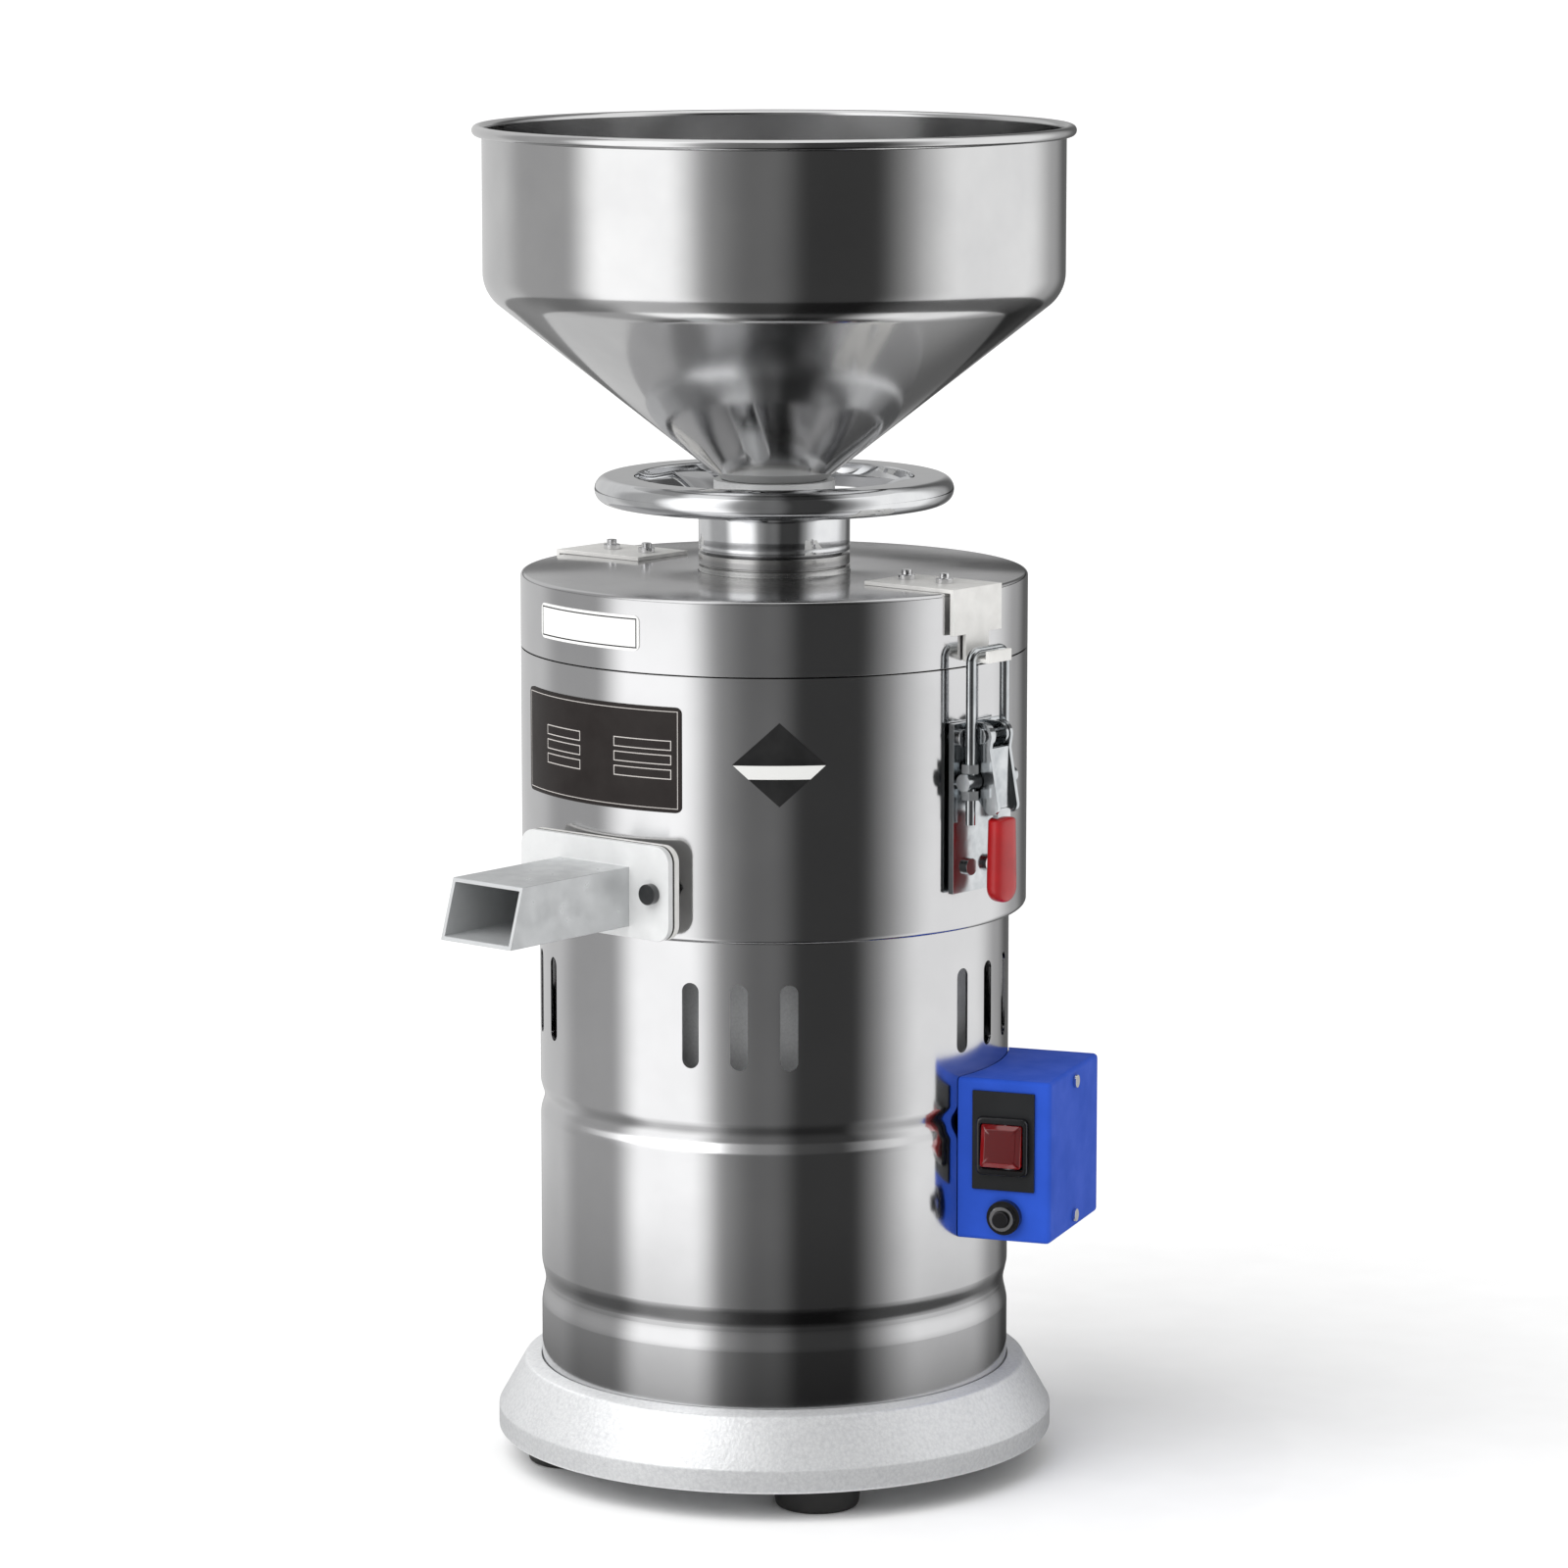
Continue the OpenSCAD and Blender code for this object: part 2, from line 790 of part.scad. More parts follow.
// Lower motor shield: carries the lower bearing and the stator
module bottom_shield() {
    color("lightgray")
    difference() {
        union() {
            disc(motor_rim_r, seat_z, seat_z + plate_low_t);
            tube(motor_rim_r, motor_in_r, seat_z, stack_low_z);
            tube(motor_rim_r, stator_r - pad_lap, stack_low_z - rim_pad_h, stack_low_z);
            disc(lower_bearing_r + boss_wall, seat_z, lower_bearing_z + lower_bearing_w);
        }
        disc(lower_bearing_r, lower_bearing_z, lower_bearing_z + lower_bearing_w + cut);
        disc(journal_r + boss_wall, seat_z - cut, lower_bearing_z + cut);
        for (i = [0:5])
            facing(i * 60)
                translate([vent_ring_r, 0, 0])
                    disc(vent_r, seat_z - cut, lower_bearing_z + cut);
        tie_holes();
    }
}

module tie_holes() {
    for (i = [0:tie_count - 1])
        facing(45 + i * 360 / tie_count)
            translate([tie_ring_r, 0, 0])
                disc(tie_r + fit / 2, stack_low_z - rim_pad_h - cut, stack_top_z + rim_pad_h + cut);
}

module tie_bolts() {
    color("silver")
    for (i = [0:tie_count - 1])
        facing(45 + i * 360 / tie_count)
            translate([tie_ring_r, 0, 0]) {
                disc(tie_r, stack_low_z - rim_pad_h - tie_head_h, stack_top_z + rim_pad_h + tie_head_h);
                disc(tie_head_r, stack_low_z - rim_pad_h - tie_head_h, stack_low_z - rim_pad_h);
                hexagon(2 * tie_head_r, stack_top_z + rim_pad_h, stack_top_z + rim_pad_h + tie_head_h);
            }
}

module stator_core() {
    color("slategray")
    difference() {
        tube(stator_r, stator_bore_r, stack_low_z, stack_top_z);
        for (i = [0:slot_teeth - 1])
            facing(i * 360 / slot_teeth)
                translate([stator_bore_r - cut, -tooth_slot_w / 2, stack_low_z - cut])
                    cube([tooth_slot_depth + cut, tooth_slot_w, stack_h + 2 * cut]);
    }
}

// Stator winding: the copper in the slots and the round coil heads above and below
module stator_winding() {
    low = stack_low_z - winding_h;
    high = stack_top_z + winding_h;
    inner = stator_bore_r + coil_inset;
    color("peru") {
        tube(inner + winding_wall, inner, low, stack_low_z);
        tube(inner + winding_wall, inner, stack_top_z, high);
        for (i = [0:slot_teeth - 1])
            facing(i * 360 / slot_teeth)
                translate([inner, skin - tooth_slot_w / 2, stack_low_z - cut])
                    cube([tooth_slot_depth - 2 * coil_inset, tooth_slot_w - 2 * skin, stack_h + 2 * cut]);
    }
}

// Bearing housing: closes the motor, carries the upper bearing, the bowl and the casing
module bearing_housing() {
    color("gainsboro")
    difference() {
        union() {
            disc(housing_flange_r, shell_top_z, bowl_low_z);
            disc(motor_rim_r, bowl_low_z - cover_t - housing_flange_t, bowl_low_z);
            tube(motor_rim_r, motor_in_r, stack_top_z, bowl_low_z);
            tube(motor_rim_r, stator_r - pad_lap, stack_top_z, stack_top_z + rim_pad_h);
            disc(upper_bearing_r + boss_wall, upper_bearing_z, bowl_low_z);
        }
        disc(upper_bearing_r, upper_bearing_z - cut, upper_bearing_z + upper_bearing_w);
        disc(seal_r, upper_bearing_z - cut, upper_bearing_z + upper_bearing_w + seal_w);
        disc(collar_in_r, upper_bearing_z - cut, bowl_low_z + cut);
        tie_holes();
    }
}

// A sealed ball bearing: one ring with a shield groove in each face
module bearing(outer_r, inner_r, low, w) {
    difference() {
        tube(outer_r - run_fit, inner_r + run_fit, low, low + w);
        tube(outer_r - race_wall, inner_r + race_wall, low - cut, low + race_groove);
        tube(outer_r - race_wall, inner_r + race_wall, low + w - race_groove, low + w + cut);
    }
}

module lower_bearing() {
    color("silver")
        bearing(lower_bearing_r, journal_r, lower_bearing_z, lower_bearing_w);
}

module upper_bearing() {
    color("silver")
        bearing(upper_bearing_r, shaft_r, upper_bearing_z, upper_bearing_w);
}

module shaft_seal() {
    low = upper_bearing_z + upper_bearing_w;
    color("saddlebrown")
    difference() {
        tube(seal_r - run_fit, shaft_r + run_fit, low, low + seal_w);
        tube(seal_r - seal_lip, shaft_r + 2 * seal_lip, low - cut, low + seal_w - seal_lip);
    }
}

// Casing: a tube with a rolled-in bottom edge that closes on the shell
module casing() {
    lip_r = shell_r + fit;
    color("silver")
    difference() {
        rotate_extrude()
            polygon(concat(
                [[lip_r, casing_low_z]],
                [for (i = [0:arc_steps])
                    let (a = -90 + 90 * i / arc_steps)
                    [casing_r - casing_edge_r + casing_edge_r * cos(a),
                        casing_low_z + casing_edge_r + casing_edge_r * sin(a)]],
                [[casing_r, casing_top_z], [casing_r - sheet, casing_top_z]],
                [for (i = [0:arc_steps])
                    let (a = -90 * i / arc_steps, r = casing_edge_r - sheet)
                    [casing_r - casing_edge_r + r * cos(a), casing_low_z + casing_edge_r + r * sin(a)]],
                [[lip_r, casing_low_z + sheet]]
            ));
        translate([-outlet_w / 2 - duct_wall - fit, -outlet_y, outlet_z - duct_wall - fit])
            cube([outlet_w + 2 * duct_wall + 2 * fit, outlet_y / 2, outlet_h + 2 * duct_wall + 2 * fit]);
        each_side()
            clamp_screw_holes();
    }
}

// Grinding bowl: a cast drum with an outlet duct and a rim for the lid
module grinding_bowl() {
    color("gainsboro")
    difference() {
        union() {
            disc(bowl_r + bowl_wall, bowl_low_z, bowl_top_z);
            disc(flange_out_r, bowl_top_z - bowl_rim_t, bowl_top_z);
            translate([-outlet_w / 2 - duct_wall, -outlet_y, bowl_low_z])
                cube([outlet_w + 2 * duct_wall, outlet_y - bowl_r, outlet_h + duct_wall + bowl_floor_t]);
        }
        disc(bowl_r, bowl_floor_z, bowl_top_z + cut);
        translate([-outlet_w / 2, -outlet_y - cut, outlet_z])
            cube([outlet_w, outlet_y, outlet_h]);
        disc(collar_in_r, bowl_low_z - cut, bowl_floor_z + cut);
    }
    color("gainsboro")
        tube(collar_out_r, collar_in_r, bowl_floor_z, bowl_floor_z + collar_h);
}

// One layer of the spout joint, between two distances in front of the shaft
module flange_layer(y_low, y_high) {
    difference() {
        translate([0, -y_low, flange_mid_z])
            rotate([90, 0, 0])
                linear_extrude(y_high - y_low)
                    rounded(flange_w, flange_h, flange_corner_r);
        translate([-outlet_w / 2, -y_high - cut, outlet_z])
            cube([outlet_w, y_high - y_low + 2 * cut, outlet_h]);
        for (x = [-flange_bolt_x, flange_bolt_x])
            translate([x, 0, flange_mid_z])
                along_y(flange_bolt_r + fit / 2, -y_high - cut, cut - y_low);
    }
}

module outlet_plate() {
    color("silver")
        flange_layer(outlet_y, outlet_front_y);
}

module spout_gasket() {
    color("dimgray")
        flange_layer(outlet_front_y, gasket_front_y);
}

// Spout: a square tube with a slanted mouth, welded into its flange
module spout() {
    mouth_y = casing_r + spout_reach;
    color("whitesmoke") {
        flange_layer(gasket_front_y, flange_front_y);
        difference() {
            translate([spout_w / 2, 0, 0])
                rotate([90, 0, -90])
                    linear_extrude(spout_w)
                        polygon([
                            [gasket_front_y, spout_z],
                            [mouth_y + spout_slant, spout_z],
                            [mouth_y, spout_z + spout_h],
                            [gasket_front_y, spout_z + spout_h]
                        ]);
            translate([-outlet_w / 2, -mouth_y - spout_slant - cut, outlet_z])
                cube([outlet_w, mouth_y + spout_slant + 2 * cut - gasket_front_y, outlet_h]);
        }
    }
}

module spout_bolts() {
    back_y = outlet_y - flange_nut_h;
    color("silver")
    for (x = [-flange_bolt_x, flange_bolt_x])
        translate([x, 0, flange_mid_z]) {
            along_y(flange_bolt_r, -flange_front_y - cut, flange_bolt_tail - back_y);
            along_y(flange_head_r, -flange_front_y - flange_head_h, -flange_front_y);
            rotate([90, 0, 0])
                hexagon(flange_nut_flat, back_y, outlet_y);
        }
}

// Lid: a spun cap whose hole clears the cast stub
module lid() {
    color("silver")
    difference() {
        rotate_extrude()
            polygon(concat(
                [[casing_r - sheet, lid_low_z], [casing_r, lid_low_z]],
                [for (i = [0:arc_steps])
                    let (a = 90 * i / arc_steps)
                    [casing_r - lid_edge_r * (1 - cos(a)), lid_top_z - lid_edge_r * (1 - sin(a))]],
                [[hub_r + fit, lid_top_z], [hub_r + fit, lid_plate_z]],
                [[casing_r - sheet, lid_plate_z]]
            ));
        strap_bolt_holes();
    }
}

// Positions of the strap bolts on both sides
module strap_bolt_places() {
    each_side()
        for (share = strap_bolt_share)
            translate([strap_in_x + share * (bend_x - strap_in_x), 0, 0])
                children();
}

module strap_bolt_holes() {
    strap_bolt_places()
        disc(screw_r + fit / 2, cap_low_z, lid_top_z + strap_t + cut);
}

// Lid casting: ring that seats on the gasket, top plate and stub
module lid_cap() {
    color("gainsboro")
    difference() {
        union() {
            disc(flange_out_r, cap_plate_z, lid_plate_z);
            disc(bowl_r + bowl_wall, cap_low_z, lid_plate_z);
            disc(hub_r, cap_plate_z, stub_z);
        }
        disc(lid_ring_r, cap_low_z - cut, cap_plate_z);
        disc(neck_out_r + run_fit, cap_plate_z - cut, stub_z + cut);
        strap_bolt_holes();
    }
}

// Guide neck: a bush set in the lid casting, with a collar below and a key for the feed tube
module lid_neck() {
    color("silver") {
        tube(neck_out_r, neck_in_r, cap_plate_z - collar_drop, neck_top_z);
        tube(neck_out_r + neck_wall, neck_in_r, cap_plate_z - collar_drop, cap_plate_z);
        facing(180)
            translate([neck_in_r - key_depth, -key_w / 2, key_low_z])
                cube([key_depth + neck_wall / 2, key_w, key_h]);
    }
}

module lid_gasket() {
    color("white")
        tube(bowl_r + bowl_wall, lid_ring_r, bowl_top_z, cap_low_z);
}

// Dial ring: seated on the stub, with a dark groove below and a row of engraved marks
module dial_ring() {
    color("silver")
    difference() {
        rotate_extrude()
            polygon([
                [neck_out_r + run_fit, dial_z],
                [hub_r - groove_depth, dial_z],
                [hub_r - groove_depth, dial_z + groove_h],
                [hub_r, dial_z + groove_h],
                [hub_r, dial_top_z],
                [neck_out_r + run_fit, dial_top_z]
            ]);
        for (i = [0:dial_marks - 1])
            facing(i * 360 / dial_marks)
                translate([hub_r - dial_mark_depth, -dial_mark_w / 2, dial_z + groove_h + dial_mark_w])
                    cube([dial_mark_depth + cut, dial_mark_w, dial_mark_h]);
    }
}

// Latch strap: lies on the lid, turns down over its edge and ends in an upturned hook
module latch_strap() {
    leg_low_z = hook_z - strap_t;
    color("silver")
    difference() {
        union() {
            translate([strap_in_x, -strap_w / 2, lid_top_z])
                cube([leg_x - strap_in_x, strap_w, strap_t]);
            translate([bend_x, -strap_w / 2, bar_z + strap_neck_h])
                cube([strap_t, strap_w, lid_top_z + strap_t - bar_z - strap_neck_h]);
            upright(-hook_w / 2, hook_w / 2)
                polygon([
                    [bend_x, lid_top_z],
                    [bend_x, leg_low_z],
                    [hook_lip_x + strap_t, leg_low_z],
                    [hook_lip_x + strap_t, bar_z + hook_lip_h],
                    [hook_lip_x, bar_z + hook_lip_h],
                    [hook_lip_x, hook_z],
                    [leg_x, hook_z],
                    [leg_x, lid_top_z]
                ]);
        }
        for (share = strap_bolt_share)
            translate([strap_in_x + share * (bend_x - strap_in_x), 0, 0])
                disc(screw_r + fit / 2, lid_top_z - cut, lid_top_z + strap_t + cut);
    }
}

module latch_strap_right() {
    facing(90)
        latch_strap();
}

module latch_strap_left() {
    facing(-90)
        latch_strap();
}

module strap_bolts() {
    low = lid_top_z + strap_t;
    color("silver")
    strap_bolt_places() {
        disc(screw_r, cap_plate_z, low + cut);
        disc(screw_head_r, low, low + screw_head_h);
        disc(screw_r, low + screw_head_h, low + 2 * screw_head_h);
    }
}

// Screw places of a clamp: two below and two beside the ears
function clamp_screw_places() = [
    for (s = [-1, 1]) [s * clamp_screw_y, clamp_low_z + clamp_screw_low],
    for (s = [-1, 1]) [s * clamp_top_screw_y, clamp_top_z - clamp_top_screw_drop]
];

module clamp_screw_holes() {
    for (p = clamp_screw_places())
        translate([0, p[0], p[1]])
            along_x(screw_r + fit / 2, casing_r - clamp_screw_tail, clamp_face_x + cut);
}

// Clamp base: a flat plate with two ears for the handle
module clamp_base() {
    color("silver")
    difference() {
        union() {
            translate([clamp_face_x - clamp_plate_t, -strap_w / 2, clamp_low_z])
                cube([clamp_plate_t, strap_w, clamp_top_z - clamp_low_z]);
            for (y = [-ear_y - ear_t, ear_y])
                upright(y, y + ear_t)
                    clamp_ear();
        }
        clamp_screw_holes();
        translate([pivot_x, 0, pivot_z])
            along_y(pin_r + run_fit, -strap_w, strap_w);
    }
}

module clamp_ear() {
    translate([pivot_x, pivot_z])
        circle(r = ear_r);
    translate([clamp_face_x - skin, pivot_z - ear_r])
        square([pivot_x - clamp_face_x + skin, 2 * ear_r]);
}

module clamp_base_right() {
    facing(90)
        clamp_base();
}

module clamp_base_left() {
    facing(-90)
        clamp_base();
}

module clamp_pins() {
    head_y = cheek_y + cheek_t + head_gap;
    color("silver")
    each_side()
        translate([pivot_x, 0, pivot_z]) {
            along_y(pin_r, -head_y, head_y);
            for (y = [-head_y - pin_head_t, head_y])
                along_y(pin_head_r, y, y + pin_head_t);
        }
}

module clamp_screws() {
    color("silver")
    each_side()
        for (p = clamp_screw_places())
            translate([0, p[0], p[1]]) {
                along_x(screw_head_r, clamp_face_x, clamp_face_x + screw_head_h);
                along_x(screw_r, casing_r - clamp_screw_tail, clamp_face_x + cut);
                rotate([0, 90, 0])
                    hexagon(2 * screw_head_r, clamp_nut_x - clamp_nut_h, clamp_nut_x);
            }
}

// Clamp handle: two cheeks on the pivot pin, a web between them and a tongue in the grip
module clamp_handle() {
    color("silver")
    difference() {
        union() {
            for (y = [-cheek_y - cheek_t, cheek_y])
                upright(y, y + cheek_t)
                    clamp_cheek();
            upright(-cheek_y - cheek_t / 2, cheek_y + cheek_t / 2)
                link([pivot_x + cheek_pivot_r - 2 * web_r, pivot_z - cheek_pivot_r],
                    [arm_x, arm_z - cheek_arm_r / 2], web_r, web_r);
            upright(-tongue_w / 2, tongue_w / 2)
                link([arm_x, arm_z - cheek_arm_r / 2], [arm_x, grip_low_z + grip_w / 2], tongue_r, tongue_r);
        }
        translate([pivot_x, 0, pivot_z])
            along_y(pin_r + run_fit, -strap_w, strap_w);
        translate([trunnion_x, 0, trunnion_z])
            along_y(trunnion_r + run_fit, -strap_w, strap_w);
    }
}

module clamp_cheek() {
    pivot = [pivot_x, pivot_z];
    trunnion = [trunnion_x, trunnion_z];
    link(pivot, trunnion, cheek_pivot_r, cheek_trunnion_r);
    link(trunnion, [arm_x, arm_z], cheek_trunnion_r, cheek_arm_r);
    link(pivot, [arm_x, arm_z], cheek_arm_r, cheek_arm_r);
}

module clamp_handle_right() {
    facing(90)
        clamp_handle();
}

module clamp_handle_left() {
    facing(-90)
        clamp_handle();
}

// Clamp grip: a dipped sleeve with a round lower end, hollow for the tongue
module clamp_grip() {
    side = grip_w / 2 - grip_round_r;
    face = grip_t / 2 - grip_round_r;
    color("firebrick")
    difference() {
        hull()
            for (x = [-face, face]) {
                for (y = [-side, side])
                    translate([arm_x + x, y, grip_top_z - grip_round_r])
                        sphere(r = grip_round_r, $fn = round_fn);
                for (a = [0:30:180])
                    translate([arm_x + x, side * cos(a), grip_low_z + grip_w / 2 - side * sin(a)])
                        sphere(r = grip_round_r, $fn = round_fn);
            }
        translate([arm_x - tongue_r - skin, -tongue_w / 2 - skin, grip_low_z + grip_w / 2 - tongue_r - skin])
            cube([2 * (tongue_r + skin), tongue_w + 2 * skin, grip_h]);
    }
}

module clamp_grip_right() {
    facing(90)
        clamp_grip();
}

module clamp_grip_left() {
    facing(-90)
        clamp_grip();
}

// U bolt with its trunnion and four nuts
module clamp_ubolt() {
    leg_y = rod_span / 2;
    low_z = trunnion_z - rod_tail;
    color("silver") {
        translate([trunnion_x, 0, 0]) {
            for (s = [-1, 1]) {
                translate([0, s * leg_y, 0])
                    disc(rod_r, low_z, bar_z - rod_bend_r);
                translate([0, s * (leg_y - rod_bend_r), bar_z - rod_bend_r])
                    rotate([90, 0, s > 0 ? 90 : -90])
                        rotate_extrude(angle = 90)
                            translate([rod_bend_r, 0])
                                circle(r = rod_r);
            }
            translate([0, 0, bar_z])
                along_y(rod_r, rod_bend_r - leg_y, leg_y - rod_bend_r);
        }
        translate([trunnion_x, 0, trunnion_z]) {
            difference() {
                union() {
                    along_y(trunnion_r, -barrel_y - skin, barrel_y + skin);
                    for (s = [-barrel_end_y, barrel_y])
                        along_y(barrel_r, s, s + barrel_end_y - barrel_y);
                }
                for (s = [-1, 1])
                    translate([0, s * leg_y, 0])
                        disc(rod_r + skin, -rod_tail, rod_tail);
            }
            for (s = [-1, 1], z = [-barrel_r - rod_nut_h, barrel_r])
                translate([0, s * leg_y, 0])
                    difference() {
                        hexagon(rod_nut_flat, z, z + rod_nut_h);
                        disc(rod_r + skin, z - cut, z + rod_nut_h + cut);
                    }
        }
    }
}

module clamp_ubolt_right() {
    facing(90)
        clamp_ubolt();
}

module clamp_ubolt_left() {
    facing(-90)
        clamp_ubolt();
}

// A thin curved plate on the casing: an outline pressed through a thin tube
module curved_plate(bearing, mid_z) {
    intersection() {
        tube(plate_r + plate_t, plate_r, mid_z - casing_r, mid_z + casing_r);
        facing(bearing)
            translate([casing_r / 2, 0, mid_z])
                rotate([90, 0, 90])
                    linear_extrude(casing_r)
                        children();
    }
}

// Chord of a width measured along the casing
function chord(w) = 2 * casing_r * sin(w * 90 / (PI * casing_r));

module rating_plate() {
    color("darkslategray")
        curved_plate(plate_bearing, plate_low_z + plate_h / 2)
            rounded(chord(plate_w), plate_h, plate_corner_r);
}

module blank_labels() {
    color("white")
        curved_plate(label_bearing, label_low_z + label_h / 2)
            rounded(chord(label_w), label_h, plate_corner_r);
    color("black")
        curved_plate(diamond_bearing, diamond_z)
            polygon([
                [-diamond_w / 2, 0],
                [0, -diamond_w * diamond_h_share / 2],
                [diamond_w / 2, 0],
                [0, diamond_w * diamond_h_share / 2]
            ]);
}

// Control box: a moulded shell that closes on the motor shell
module control_box() {
    color("royalblue")
    facing(box_bearing)
    difference() {
        box_block(box_x, box_side, box_z, box_top_z, box_edge_r);
        box_block(box_x - box_wall, box_side - box_wall,
            box_z + box_wall, box_top_z - box_wall, box_edge_r / 2);
        disc(shell_r + fit, box_z - cut, box_top_z + cut);
        translate([switch_x, cut - box_side, switch_z])
            cube([frame_w - frame_t + fit, 2 * (box_wall + cut), frame_h - frame_t + fit], center = true);
        translate([reset_x, 0, reset_z])
            along_y(reset_bush_r + fit, -box_side - cut, -box_side + box_wall + cut);
        translate([gland_x, 0, gland_z])
            along_y(gland_r + fit, box_side - box_wall - cut, box_side + cut);
        for (z = [box_z + box_screw_inset, box_top_z - box_screw_inset])
            translate([0, 0, z])
                along_x(box_screw_r + fit, box_x - box_wall - cut, box_x + cut);
    }
}

module box_block(front_x, side, low, high, edge_r) {
    translate([0, 0, low])
        linear_extrude(high - low) {
            translate([box_back_x, -side])
                square([front_x - edge_r - box_back_x, 2 * side]);
            translate([box_back_x, edge_r - side])
                square([front_x - box_back_x, 2 * (side - edge_r)]);
            for (y = [edge_r - side, side - edge_r])
                translate([front_x - edge_r, y])
                    circle(r = edge_r);
        }
}

// Bracket inside the box: a strip on the shell with an arm above and below
module box_bracket() {
    low = box_z + box_wall + bracket_inset;
    high = box_top_z - box_wall - bracket_inset;
    front = box_x - box_wall - bracket_inset;
    color("silver")
    facing(box_bearing)
    difference() {
        union() {
            translate([shell_r + fit, -bracket_w / 2, low])
                cube([bracket_t, bracket_w, high - low]);
            for (z = [low, high - bracket_t])
                translate([shell_r + fit, -bracket_w / 2, z])
                    cube([front - shell_r - fit, bracket_w, bracket_t]);
            for (z = [low, high - bracket_tab_h])
                translate([front - bracket_t, -bracket_w / 2, z])
                    cube([bracket_t, bracket_w, bracket_tab_h]);
        }
        for (z = [box_z + box_screw_inset, box_top_z - box_screw_inset])
            translate([0, 0, z])
                along_x(box_screw_r + skin, front - bracket_t - cut, front + cut);
    }
}

module box_screws() {
    color("silver")
    facing(box_bearing)
    for (z = [box_z + box_screw_inset, box_top_z - box_screw_inset])
        translate([0, 0, z]) {
            along_x(box_screw_head_r, box_x, box_x + box_screw_head_h);
            along_x(box_screw_r, box_x - box_screw_l, box_x + box_screw_head_h / 2);
        }
}

// Switch plate on the side of the box, with a window for the rocker frame
module switch_plate() {
    color("black")
    facing(box_bearing)
    difference() {
        translate([switch_x - switch_plate_w / 2, -box_side - switch_plate_t,
            switch_z + switch_plate_lift - switch_plate_h / 2])
            cube([switch_plate_w, switch_plate_t, switch_plate_h]);
        translate([switch_x, 0, switch_z])
            cube([frame_w - frame_t + fit, 2 * box_w, frame_h - frame_t + fit], center = true);
    }
}

// Rocker frame: a bezel on the plate and a closed body inside the box
module switch_frame() {
    front = -box_side - switch_plate_t;
    depth = frame_depth + frame_t + cut - frame_back_t;
    color("black")
    facing(box_bearing)
    translate([switch_x, front, switch_z])
    difference() {
        union() {
            translate([-frame_w / 2, -frame_t, -frame_h / 2])
                cube([frame_w, frame_t, frame_h]);
            translate([frame_t / 2 - frame_w / 2, -skin, frame_t / 2 - frame_h / 2])
                cube([frame_w - frame_t, frame_depth, frame_h - frame_t]);
        }
        translate([frame_wall - frame_w / 2, -frame_t - cut, frame_wall - frame_h / 2])
            cube([frame_w - 2 * frame_wall, depth, frame_h - 2 * frame_wall]);
        translate([0, rocker_axis_in, 0])
            along_x(rocker_pin_r + run_fit, -rocker_w / 2 - rocker_pin_l, rocker_w / 2 + rocker_pin_l);
    }
}

// Rocker: a shallow V with a pin at each side, tipped to its off position
module switch_rocker() {
    color("red")
    facing(box_bearing)
    translate([switch_x, -rocker_axis_y, switch_z])
    rotate([-rocker_tilt, 0, 0]) {
        rotate([90, 0, 90])
            translate([0, 0, -rocker_w / 2])
                linear_extrude(rocker_w)
                    polygon([
                        [-frame_t - rocker_proud, rocker_h / 2],
                        [-frame_t, 0],
                        [-frame_t - rocker_proud, -rocker_h / 2],
                        [0, -rocker_h / 2],
                        [rocker_back, -rocker_h / 4],
                        [rocker_back, rocker_h / 4],
                        [0, rocker_h / 2]
                    ]);
        along_x(rocker_pin_r, -rocker_w / 2 - rocker_pin_l + fit, rocker_w / 2 + rocker_pin_l - fit);
    }
}

// Reset breaker: a body inside the box, a threaded bush and its ring nut
module reset_breaker() {
    front = -box_side - reset_proud;
    inside = box_wall - box_side;
    color("dimgray")
    facing(box_bearing)
    translate([reset_x, 0, reset_z])
    difference() {
        union() {
            along_y(reset_bush_r, front, inside + cut);
            along_y(reset_nut_r, -box_side - reset_nut_t, -box_side);
            translate([-reset_body_w / 2, inside, -reset_body_w / 2])
                cube([reset_body_w, reset_body_l, reset_body_w]);
        }
        along_y(button_r + fit, front - cut, inside + reset_body_l / 2);
    }
}

// Reset button: a stem with a cap, pushed in along +Y of its own box side
module reset_button() {
    front = -box_side - reset_proud;
    color("black")
    facing(box_bearing)
    translate([reset_x, 0, reset_z])
        along_y(button_r, front - button_proud, box_wall - box_side + reset_body_l / 2 - button_travel - fit);
}

// Cable gland: flange, hexagon and dome on the rear side of the box
module cable_gland() {
    inner_y = box_side - box_wall - gland_flange_t;
    color("black")
    facing(box_bearing)
    translate([gland_x, 0, gland_z])
    difference() {
        union() {
            along_y(gland_r, inner_y, box_side + cut);
            rotate([-90, 0, 0]) {
                hexagon(2 * gland_nut_r, box_side, box_side + gland_nut_h);
                hexagon(2 * gland_nut_r, inner_y, box_side - box_wall);
                disc(gland_r, box_side, box_side + gland_nut_h + gland_dome_h);
            }
        }
        along_y(gland_bore_r, inner_y - cut, box_side + gland_nut_h + gland_dome_h + cut);
    }
}

module run_capacitor() {
    side = capacitor_gap + capacitor_r;
    color("whitesmoke")
    facing(box_bearing)
    translate([box_x - box_wall - side, box_side - box_wall - side, 0])
        disc(capacitor_r, capacitor_z, box_top_z - box_wall - capacitor_gap);
}

// Motor shaft: lower journal, motor length and the spindle that carries the stones
module motor_shaft() {
    journal_top = lower_bearing_z + lower_bearing_w + journal_top_gap;
    color("silver") {
        disc(journal_r, lower_bearing_z - shaft_low_gap, journal_top);
        disc(shaft_r, journal_top, bowl_low_z);
        disc(spindle_r, bowl_low_z, lower_stone_z + stone_h - dish_depth + nut_h);
    }
}

